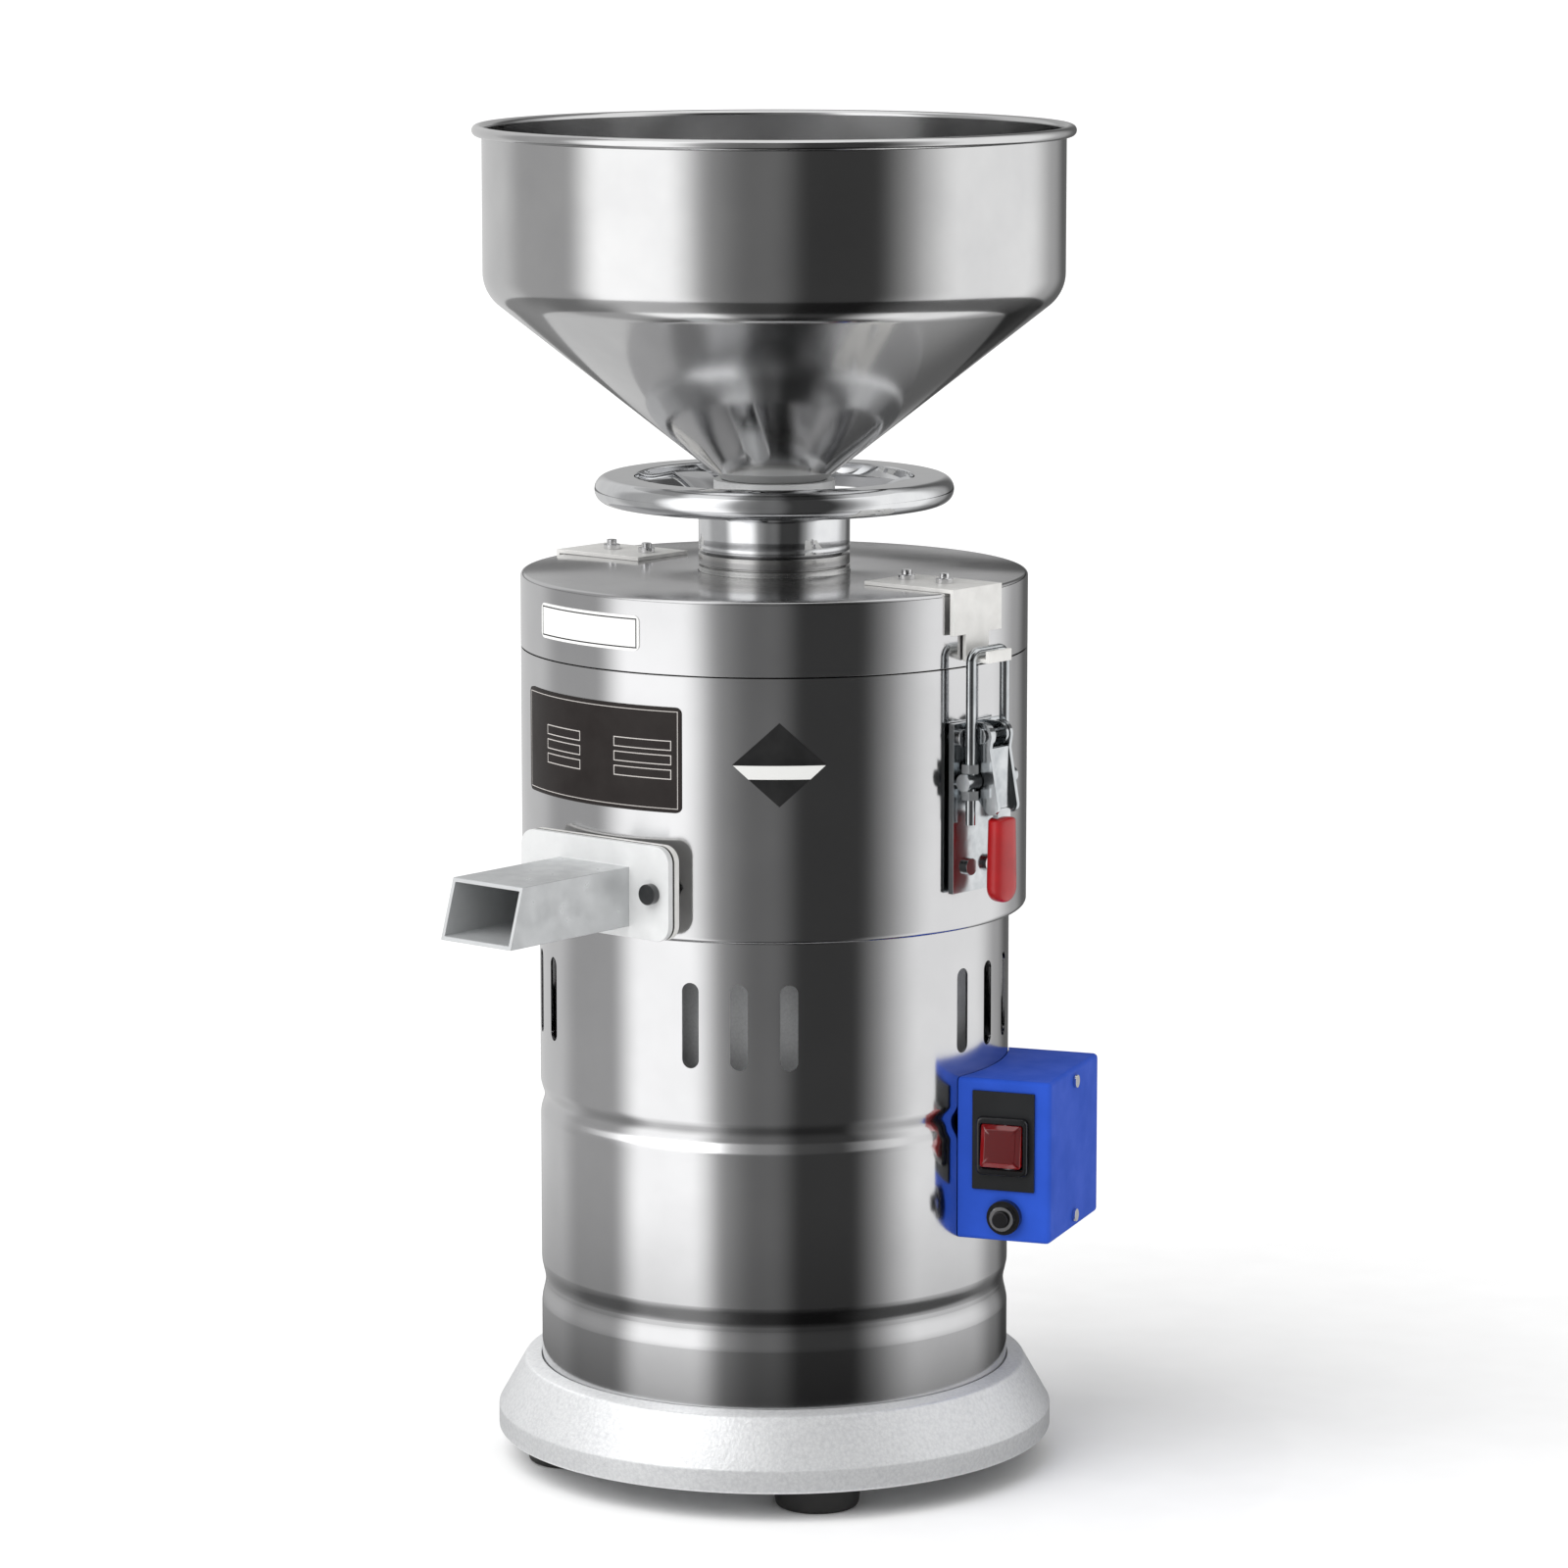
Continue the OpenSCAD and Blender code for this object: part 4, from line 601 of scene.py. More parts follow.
@dataclass(frozen=True)
class PaintedBoard(Finish):
    """Matt white paint with a faint speckle."""

    speckle_mm: float = 40.0

    def build(self, tree: Tree) -> Node:
        """Speckle in the colour alone.

        Args:
            tree: The material's node tree.

        Returns:
            The shader's node.
        """
        [speckle] = patterns(tree, (self.speckle_mm, 2.0))
        colour = between(tree, speckle, self.colour, self.second)
        return add(tree, "BsdfPrincipled", {"Base Color": colour, "Roughness": self.roughness})


@dataclass(frozen=True)
class Glow(Finish):
    """Lit card, as bright as its mesh's light attribute says. Where it lights only what lies
    below, it is clear from above."""

    under: bool = False

    def build(self, tree: Tree) -> Node:
        """Emission, on both sides or on the back alone.

        Args:
            tree: The material's node tree.

        Returns:
            The shader's node.
        """
        level = add(tree, "Attribute", attribute_name="light").outputs["Fac"]
        lit = add(tree, "Emission", {"Color": self.colour, "Strength": level})
        if not self.under:
            return lit
        back = add(tree, "NewGeometry").outputs["Backfacing"]
        return add(tree, "MixShader", {0: back, 1: add(tree, "BsdfTransparent"), 2: lit})


# ---------------------------------------------------------------- finishes of the machine

# Spun and polished 1 mm stainless sheet: long soft bands of light.
SPUN_STEEL = SpunSheet("stainless_spun_polished")
# Rolled stainless sheet of the casing, the lid and the motor shell.
ROLLED_STEEL = SpunSheet("stainless_rolled_polished", "#d4d4d5", stretch=0.6, line_mm=1.1)
# Bead-blasted and pickled stainless: its matt skin scatters most light, so it looks white.
SATIN_STEEL = BrightMetal(
    "stainless_satin", "#e9eaea", "#e4e5e5", 0.4, 0.002,
    wave_mm=60.0, grain_mm=0.5, grain_depth_mm=0.002, metallic=0.25,
)  # fmt: skip
# Drawn stainless tube, duller and greyer than the blasted flange.
TUBE_STEEL = BrightMetal(
    "stainless_tube_drawn", "#c9cbcc", "#c4c6c7", 0.34, 0.001,
    wave_mm=60.0, grain_mm=0.5, grain_depth_mm=0.001, metallic=0.4,
)  # fmt: skip
# Plated casting, polished like a mirror before plating.
CHROME = BrightMetal(
    "chrome_polished_casting", "#e4e5e6", "#dcdddf", 0.045, 0.012, wave_mm=26.0
)
# Strip bent on a press, brushed lightly and a little wavy.
STRIP_STEEL = BrightMetal(
    "stainless_strip", "#f0efec", "#e6e5e2", 0.36, 0.012,
    wave_mm=16.0, grain_mm=0.5, grain_depth_mm=0.003, metallic=0.15,
)  # fmt: skip
# Bright screws, pins and U bolts.
BRIGHT_BOLT = BrightMetal("stainless_fastener", "#d8d8d7", "#c2c2c2", 0.12, wave_mm=6.0)
# Dome-headed screws of the spout, dark where the flange shades them.
DARK_BOLT = BrightMetal(
    "steel_fastener_dark", "#6d6d6e", "#545556", 0.14, 0.05, wave_mm=3.0
)
# Bright zinc on pressed steel: blotchy and slightly blue.
ZINC = BrightMetal(
    "zinc_bright_plate", "#d5d8da", "#b9bdc0", 0.16, 0.045,
    wave_mm=7.0, grain_mm=0.7, grain_depth_mm=0.004,
)  # fmt: skip
# Hardened and ground bearing steel.
GROUND_STEEL = TurnedMetal(
    "steel_ground", "#bfc0c1", roughness=0.2, depth_mm=0.002, line_mm=0.5
)
# Turned stainless bush, dial and shaft.
TURNED_STEEL = TurnedMetal("stainless_turned", "#cdccca", roughness=0.2)
# Turned bush painted dark grey, as painted shade in the gaps of the hub.
GREASED_STEEL = TurnedMetal("steel_greased", "#46474a", roughness=0.3)
# Satin-turned cast stub of the lid.
TURNED_ALUMINIUM = TurnedMetal(
    "aluminium_turned", "#cfcfcd", roughness=0.26, depth_mm=0.005, line_mm=0.8
)
# Sand-cast aluminium with a silver paint-like skin.
SAND_CAST = CastMetal("aluminium_sand_cast")
# Die-cast aluminium inside the motor.
DIE_CAST = CastMetal(
    "aluminium_die_cast", "#e4e5e6", "#d2d3d4", 0.45, 0.05, grain_mm=1.2, metallic=0.15
)
# Powder coat on pressed steel, with its orange-peel skin.
BLUE_POWDER = Moulded(
    "powder_coat_blue", "#2c55c6", "#2950bb", 0.55, 0.02, grain_mm=1.0, gloss=0.12
)
# Dipped vinyl, thick and soft.
RED_VINYL = Moulded(
    "vinyl_red_dipped", "#b4161b", "#9c1016", 0.34, 0.02,
    grain_mm=1.6, coat=0.25, coat_roughness=0.2, soft=0.1,
)  # fmt: skip
# Moulded black ABS with a fine spark-eroded skin.
BLACK_ABS = Moulded("abs_black_moulded", "#18191b", "#202123", 0.42, 0.012, grain_mm=0.6)
# Polished black ABS.
GLOSS_ABS = Moulded(
    "abs_black_polished", "#121214", "#19191b", 0.2, 0.004,
    grain_mm=1.2, coat=0.3, coat_roughness=0.08,
)  # fmt: skip
# Black moulded rubber of the feet, slightly dusty.
FOOT_RUBBER = Moulded(
    "rubber_black_moulded", "#1a1a1a", "#2b2a29", 0.66, 0.03, grain_mm=0.7
)
# Nitrile rubber of the shaft seal and the spout's gasket.
SEAL_RUBBER = Moulded("rubber_nitrile", "#221d1a", "#2e2825", 0.5, grain_mm=0.5)
# White silicone of the lid's gasket.
SILICONE = Moulded("silicone_white", "#dcdbd6", "#cfcec8", 0.5, grain_mm=0.9, soft=0.3)
# Moulded case of the run capacitor.
CASE_PLASTIC = Moulded("pp_case_pale", "#d8d7d0", "#cccbc4", 0.38)
# Glass-filled nylon of the cooling fan.
FAN_NYLON = Moulded("nylon_glass_filled", "#34363a", "#26282b", 0.5, 0.02, grain_mm=0.7)
# Electrical steel in the motor, punched and stacked.
LAMINATIONS = Layered("steel_laminated")
# Enamelled copper wire, wound and varnished.
COPPER_WIRE = Layered(
    "copper_enamelled_wire", "#b5652c", "#5a2a10", 0.3, 0.21,
    pitch_mm=1.4, metallic=0.85, slant=2.5,
)  # fmt: skip
# Corundum stones of the mill.
CORUNDUM = Millstone("corundum_bonded")
# Clear red polycarbonate of the rocker.
RED_LENS = ClearPlastic("polycarbonate_red")
# Screen-printed plate with its fields left empty: three rows of outlined boxes.
RATING_FACE = PrintedFace(
    "aluminium_printed_plate",
    "#1d1817",
    "#c9c4c0",
    fields=(
        Field(0, 0, 107.0, 47.0, 0.35),
        *(Field(-19.0, 7.0 * row, 28.0, 4.4, 0.45) for row in (1, 0, -1)),
        *(Field(34.0, 7.0 * row, 32.0, 4.4, 0.45) for row in (1, 0, -1)),
    ),
)
# White film label with a thin dark border.
WHITE_FACE = PrintedFace(
    "film_white_label", "#f4f4f2", "#2e2e30", fields=(Field(0, 0, 68.6, 13.8, 0.7),), coat=0.3
)
# Black film in the shape of a diamond, with a pale band across its middle.
BLACK_FACE = PrintedFace(
    "film_black_label", "#151516", "#dcdcda", fields=(Field(0, -3.6, 60.0, 6.4, 0.2, True),)
)
# Painted board of the studio's floor.
FLOOR_PAINT = PaintedBoard("painted_board_white")


# ---------------------------------------------------------------- surfaces

# A row of a profile: radius from the axis, height and corner radius, in mm.
Row = tuple[float, float, float]


def unit(vectors: Array) -> Array:
    """Gives vectors of length one."""
    length = np.linalg.norm(vectors, axis=-1, keepdims=True)
    return vectors / np.maximum(length, 1e-12)


def bearing_vector(degrees: float) -> Array:
    """Gives the direction of a bearing: 0 is the spout's side, 90 the right-hand side."""
    angle = math.radians(degrees)
    return np.array([math.sin(angle), -math.cos(angle), 0.0])


def filleted(corners: Sequence[Row], steps: int = 7) -> Array:
    """Rounds the corners of a closed profile. The arc of a corner touches both sides at
    radius over the tangent of half the corner's angle, and its middle lies on the bisector.

    Args:
        corners: The profile's rows.
        steps: Points on each arc.

    Returns:
        The profile's points, steps for each corner.
    """
    table = np.asarray(corners, float)
    p, r = table[:, :2], table[:, 2:3]
    back, ahead = unit(np.roll(p, 1, 0) - p), unit(np.roll(p, -1, 0) - p)
    half = np.arccos(np.clip((back * ahead).sum(1, keepdims=True), -1, 1)) / 2
    middle = p + unit(back + ahead) * r / np.sin(half)
    first = (p + back * r / np.tan(half) - middle)[:, None, :]
    last = (p + ahead * r / np.tan(half) - middle)[:, None, :]
    sweep = np.maximum(math.pi - 2 * half, 1e-6)[:, None, :]
    t = np.linspace(0, 1, steps)[None, :, None]
    arcs = middle[:, None, :] + first * np.sin((1 - t) * sweep) / np.sin(sweep)
    return (arcs + last * np.sin(t * sweep) / np.sin(sweep)).reshape(-1, 2)


def block(half_w: float, half_h: float, corner: float) -> Array:
    """Gives a rectangle about the origin with round corners.

    Args:
        half_w: Half its width, in mm.
        half_h: Half its height, in mm.
        corner: Radius of its corners, in mm.

    Returns:
        Its points.
    """
    signs = ((-1, -1), (1, -1), (1, 1), (-1, 1))
    return filleted([(i * half_w, j * half_h, corner) for i, j in signs])


def turned(profile: Array, steps: int = 288) -> Array:
    """Surface of revolution: at each angle the profile's radius is carried round the axis
    and its height stays.

    Args:
        profile: Radius and height of each point, in mm.
        steps: Number of angles.

    Returns:
        The grid of points, angle by profile point.
    """
    angle = np.linspace(0, 2 * math.pi, steps, endpoint=False)[:, None]
    radius, height = profile.T[:, None, :]
    return np.stack(
        [radius * np.cos(angle), radius * np.sin(angle), height + 0 * angle], axis=-1
    )


def swept(section: Array, path: Array, side: Array) -> Array:
    """Carries a closed section along a path. The section's first number runs along side and
    its second along the normal, which is the cross product of the path's direction and side.

    Args:
        section: Closed section, side by normal, in mm.
        path: Points of the path, in mm.
        side: Fixed sideways direction.

    Returns:
        The grid of points, path point by section point.
    """
    normal = unit(np.cross(np.gradient(path, axis=0), side))
    across = path[:, None, :] + section[None, :, :1] * side[None, None, :]
    return across + section[None, :, 1:] * normal[:, None, :]


def grid_faces(rows: int, columns: int, wrap_rows: bool, start: int = 0) -> Array:
    """Joins the points of a grid, closed across its columns, into four-sided faces.

    Args:
        rows: Number of rows.
        columns: Number of columns.
        wrap_rows: Whether the last row joins the first.
        start: Number of the grid's first point.

    Returns:
        Four point numbers for each face.
    """
    i = np.arange(rows if wrap_rows else rows - 1)[:, None]
    j = np.arange(columns)[None, :]
    i2, j2 = (i + 1) % rows, (j + 1) % columns
    corners = [i * columns + j, i2 * columns + j, i2 * columns + j2, i * columns + j2]
    return np.stack(corners, axis=-1).reshape(-1, 4) + start


# ---------------------------------------------------------------- meshes


def new_piece(mesh: Mesh) -> Piece:
    """Puts a mesh into the scene as an object of its name at the origin.

    Args:
        mesh: The mesh.

    Returns:
        The object.
    """
    piece = bpy.data.objects.new(mesh.name, mesh)
    bpy.context.scene.collection.objects.link(piece)
    return piece


def cleaned(mesh: Mesh, sharp_degrees: float, from_cad: bool) -> Piece:
    """Merges a mesh's doubles, sets its sharp edges and makes it a piece. Flat triangles
    that come from CAD are joined, and the faces of a new mesh turn outwards.

    Args:
        mesh: The mesh.
        sharp_degrees: Edges that turn by more than this stay sharp.
        from_cad: Whether it is a copy of a CAD node's mesh.

    Returns:
        The piece.
    """
    work = bmesh.new()
    work.from_mesh(mesh)
    bmesh.ops.remove_doubles(work, verts=work.verts, dist=MERGE)
    bmesh.ops.dissolve_degenerate(work, edges=work.edges, dist=MERGE / 2)
    if from_cad:
        flat = math.radians(0.4)
        bmesh.ops.dissolve_limit(work, angle_limit=flat, verts=work.verts, edges=work.edges)
    else:
        bmesh.ops.recalc_face_normals(work, faces=work.faces)
    work.to_mesh(mesh)
    work.free()
    mesh.shade_smooth()
    mesh.set_sharp_from_angle(angle=math.radians(sharp_degrees))
    return new_piece(mesh)


def closed_piece(
    name: str, grids: Iterable[tuple[Array, bool]], sharp_degrees: float = 35.0
) -> Piece:
    """Makes one piece from grids of points in mm. A grid that isn't wrapped is closed by a
    face over each end.

    Args:
        name: Name of the piece.
        grids: Each grid, and whether its last row joins its first.
        sharp_degrees: Edges that turn by more than this stay sharp.

    Returns:
        The piece.
    """
    points, faces, start = [], [], 0
    for grid, wrapped in grids:
        rows, columns = grid.shape[:2]
        points.append(grid.reshape(-1, 3))
        faces += grid_faces(rows, columns, wrapped, start).tolist()
        if not wrapped:
            last = start + (rows - 1) * columns
            faces += [list(range(end, end + columns)) for end in (start, last)]
        start += rows * columns
    mesh = bpy.data.meshes.new(name)
    mesh.from_pydata((np.concatenate(points) * MM).tolist(), [], faces)
    return cleaned(mesh, sharp_degrees, False)


def merged_copy(node: str, name: str, sharp_degrees: float = 30.0) -> Piece:
    """Makes a piece from a copy of a CAD node's mesh.

    Args:
        node: The CAD node.
        name: Name of the piece.
        sharp_degrees: Edges that turn by more than this stay sharp.

    Returns:
        The piece.
    """
    mesh = frame["nodes"][node].data.copy()
    mesh.name = name
    mesh.materials.clear()
    return cleaned(mesh, sharp_degrees, True)


def read(items: Sequence[object], field: str, width: int = 1, kind: type = float) -> Array:
    """Reads one property of all the points, edges, faces or corners of a mesh.

    Args:
        items: The mesh's points, edges, faces or corners.
        field: Name of the property.
        width: How many numbers each item has.
        kind: Type of a number.

    Returns:
        A row of numbers for each item, or one number where the width is 1.
    """
    out = np.empty(len(items) * width, kind)
    items.foreach_get(field, out)
    return out.reshape(-1, width) if width > 1 else out


def corner_points(mesh: Mesh) -> Array:
    """Gives the place of each corner of a mesh's faces."""
    return read(mesh.vertices, "co", 3)[read(mesh.loops, "vertex_index", 1, np.int32)]


def round_edges(piece: Piece, width_mm: float, **settings: object) -> None:
    """Rounds the sharp edges of a piece with a live bevel that keeps its flat faces flat.

    Args:
        piece: The piece.
        width_mm: Width of the rounded edges.
        **settings: Settings of the bevel that differ from the usual ones.
    """
    bevel = piece.modifiers.new("rounded_edges", "BEVEL")
    bevel.width = width_mm * MM
    usual = {"segments": 3, "limit_method": "ANGLE", "angle_limit": math.radians(32)}
    for key, value in {**usual, "harden_normals": True, **settings}.items():
        setattr(bevel, key, value)


def round_rims(piece: Piece, width_mm: float, axis_gap_mm: float) -> None:
    """Rounds the edges round the top and the bottom face of a piece, other than those that
    fit against the machine's wall. The live bevel reads the weight that this writes.

    Args:
        piece: The piece.
        width_mm: Width of the rounded edges.
        axis_gap_mm: Edges whose middle lies nearer to the machine's axis stay sharp.
    """
    mesh = piece.data
    place = read(mesh.vertices, "co", 3)
    height, near = place[:, 2], 0.02 * MM
    level = (height > height.max() - near) | (height < height.min() + near)
    first, second = read(mesh.edges, "vertices", 2, np.int32).T
    middle = (place[first] + place[second]) / 2
    away = np.hypot(middle[:, 0], middle[:, 1]) > axis_gap_mm * MM
    sharp = read(mesh.edges, "use_edge_sharp", 1, bool)
    weight = (level[first] & level[second] & away & sharp).astype(np.float32)
    layer = mesh.attributes.new("bevel_weight_edge", "FLOAT", "EDGE")
    layer.data.foreach_set("value", weight)
    round_edges(piece, width_mm, segments=4, limit_method="WEIGHT", use_clamp_overlap=False)


def second_finish(
    piece: Piece, finish: Finish, value: Array, limit: float, farthest: bool = False
) -> None:
    """Gives part of a piece a second finish: the faces for which a number of their points,
    the greatest or the least, lies under a limit.

    Args:
        piece: The piece, with its first finish.
        finish: The second finish.
        value: The number of each point of the mesh.
        limit: The limit.
        farthest: Whether the greatest number of a face counts, and not the least.
    """
    mesh = piece.data
    mesh.materials.append(finish.material())
    corner = value[read(mesh.loops, "vertex_index", 1, np.int32)]
    pick = np.maximum if farthest else np.minimum
    least = pick.reduceat(corner, read(mesh.polygons, "loop_start", 1, np.int32))
    mesh.polygons.foreach_set("material_index", (least < limit).astype(np.int32))


def radial_normals(piece: Piece, degrees: float = 3.0) -> None:
    """Gives the plain walls of a turned sheet exact normals: where a face's normal lies near
    the direction away from the axis, each corner takes that direction.

    Args:
        piece: The piece.
        degrees: How near the normal has to lie.
    """
    mesh = piece.data
    away = unit(corner_points(mesh) * (1.0, 1.0, 0.0))
    corners = read(mesh.polygons, "loop_total", 1, np.int32)
    match = (away * np.repeat(read(mesh.polygons, "normal", 3), corners, axis=0)).sum(1)
    plain = (np.abs(match) > math.cos(math.radians(degrees)))[:, None]
    smooth = read(mesh.corner_normals, "vector", 3)
    chosen = np.where(plain, away * np.sign(match)[:, None], smooth)
    mesh.normals_split_custom_set(chosen.tolist())


def face_map(piece: Piece, bearing: float, radius: float, middle: float) -> None:
    """Writes a UV map in mm from the middle of a plate bent round the axis: across is the
    arc length from the plate's bearing, up is the height above its middle.

    Args:
        piece: The plate.
        bearing: Bearing of its middle, in degrees.
        radius: Radius that it is bent to, in mm.
        middle: Height of its middle, in mm.
    """
    x, y, z = corner_points(piece.data).T / MM
    angle = np.arctan2(x, -y) - math.radians(bearing)
    uv = np.stack([angle * radius, z - middle], axis=-1)
    piece.data.uv_layers.new(name="face").data.foreach_set("uv", uv.ravel())


# ---------------------------------------------------------------- sub-assemblies


class Assembly:
    """Part of the machine: finishes its CAD nodes and adds its own pieces."""

    def build(self) -> None:
        """Builds and dresses every piece of the sub-assembly."""
        raise NotImplementedError

    def place(self, piece: Piece, node: str, finish: Finish) -> Piece:
        """Puts a piece in the place of a CAD node, on the node's body.

        Args:
            piece: The piece.
            node: The CAD node that it stands for.
            finish: Its finish.

        Returns:
            The piece.
        """
        piece.data.materials.clear()
        piece.data.materials.append(finish.material())
        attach(piece, BODY_OF[node])
        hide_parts(node)
        log.info("%s stands for %s in %s", piece.name, node, finish.name)
        return piece

    def dress(self, finish: Finish, *nodes: str) -> None:
        """Gives CAD nodes a finish and leaves their shape.

        Args:
            finish: The finish.
            *nodes: The CAD nodes.
        """
        for node in nodes:
            shown = frame["nodes"][node]
            shown.data.materials.clear()
            shown.data.materials.append(finish.material())
            log.info("%s keeps its shape in %s", node, finish.name)

    def round_copy(self, node: str, suffix: str, finish: Finish, width_mm: float) -> Piece:
        """Puts a merged copy with rounded edges in the place of a CAD node.

        Args:
            node: The CAD node.
            suffix: Word added to the node's name.
            finish: The finish.
            width_mm: Width of the rounded edges.

        Returns:
            The piece.
        """
        piece = merged_copy(node, f"{node}_{suffix}")
        round_edges(piece, width_mm)
        return self.place(piece, node, finish)

    def rolled_copy(self, node: str) -> None:
        """Puts a copy with exact wall normals in the place of a turned CAD sheet.

        Args:
            node: The CAD node.
        """
        sheet = merged_copy(node, f"{node}_rolled", 40.0)
        radial_normals(sheet)
        self.place(sheet, node, ROLLED_STEEL)

    def turned_piece(self, name: str, node: str, finish: Finish, *profiles: Array) -> None:
        """Puts turned profiles, joined in one piece, in the place of a CAD node.

        Args:
            name: Name of the piece.
            node: The CAD node.
            finish: The finish.
            *profiles: Radius and height of each profile's points, in mm.
        """
        grids = [(turned(profile), True) for profile in profiles]
        self.place(closed_piece(name, grids), node, finish)


@dataclass
class BaseAssembly(Assembly):
    """Cast base ring with its rubber feet. Sizes in mm."""

    foot_bearing: float = 51.5
    foot_ring_r: float = 105.0
    feet: int = 4
    bolt_r: float = 6.0
    boss_r: float = 25.0
    low_z: float = 14.5
    floor_z: float = 40.0
    seat_z: float = 47.0
    seat_r: float = 117.3
    flare_z: float = 26.0
    outer_r: float = 139.0
    inner_r: float = 131.0
    bore_r: float = 42.0

    def ring(self) -> Array:
        """Profile of the casting, with the rounded edges that a sand mould leaves."""
        return filleted(
            [
                (self.inner_r, self.low_z, 1.0),
                (self.outer_r, self.low_z, 1.6),
                (self.outer_r, self.flare_z, 2.4),
                (125.6, 49.7, 2.6),
                (self.seat_r, 51.4, 0.6),
                (self.seat_r, self.seat_z, 0.2),
                (self.bore_r, self.seat_z, 1.0),
                (self.bore_r, self.floor_z, 1.0),
                (119.4, self.floor_z, 4.0),
                (self.inner_r, self.flare_z, 2.0),
            ]
        )

    def boss(self, bearing: float) -> Array:
        """A foot's boss: a turned shape moved out along its bearing.

        Args:
            bearing: The foot's bearing, in degrees.

        Returns:
            The grid of points.
        """
        top = self.floor_z + 1
        low = [(self.bolt_r, self.low_z, 0.3), (self.boss_r, self.low_z, 1.0)]
        high = [(self.boss_r, top, 0.3), (self.bolt_r, top, 0.3)]
        return turned(filleted(low + high), 72) + bearing_vector(bearing) * self.foot_ring_r

    def build(self) -> None:
        """Base casting and feet."""
        step = 360 / self.feet
        bosses = [(self.boss(self.foot_bearing + step * i), True) for i in range(self.feet)]
        casting = closed_piece("base_ring_casting", [(turned(self.ring()), True), *bosses])
        self.place(casting, "base_ring", SAND_CAST)
        self.round_copy("feet", "moulded", FOOT_RUBBER, 1.2)


@dataclass
class MotorAssembly(Assembly):
    """Slotted motor shell and the motor inside it."""

    def build(self) -> None:
        """Shell and the motor's inner parts."""
        self.rolled_copy("motor_shell")
        self.dress(DIE_CAST, "bottom_shield", "bearing_housing")
        self.dress(LAMINATIONS, "stator_core", "rotor_core")
        self.dress(COPPER_WIRE, "stator_winding")
        self.dress(GROUND_STEEL, "lower_bearing", "upper_bearing")
        self.dress(SEAL_RUBBER, "shaft_seal")
        self.dress(ZINC, "tie_bolts")
        self.dress(TURNED_STEEL, "motor_shaft", "shaft_nut")
        self.dress(FAN_NYLON, "cooling_fan")


@dataclass
class ChamberAssembly(Assembly):
    """Casing, bowl, stones and the bolted spout. Sizes in mm."""

    plate_bearing: float = -5.8
    plate_radius: float = 125.8
    plate_middle: float = 370.5
    tube_y: float = 136.0

    def build(self) -> None:
        """Casing, spout with its bare tube, plates and the mill inside."""
        self.rolled_copy("casing")
        self.round_copy("outlet_plate", "cut", STRIP_STEEL, 0.3)
        self.round_copy("spout_gasket", "cut", SEAL_RUBBER, 0.2)
        spout = self.round_copy("spout", "welded", SATIN_STEEL, 0.35)
        across = read(spout.data.vertices, "co", 3)[:, 1]
        second_finish(spout, TUBE_STEEL, across, -self.tube_y * MM)
        self.round_copy("spout_bolts", "domed", DARK_BOLT, 0.25)
        plate = merged_copy("rating_plate", "rating_plate_printed")
        face_map(plate, self.plate_bearing, self.plate_radius, self.plate_middle)
        self.place(plate, "rating_plate", RATING_FACE)
        self.dress(SATIN_STEEL, "grinding_bowl", "stone_carrier")
        self.dress(CORUNDUM, "lower_stone", "upper_stone")
        self.dress(BRIGHT_BOLT, "stone_bolts")
        self.dress(TURNED_STEEL, "retaining_ring")


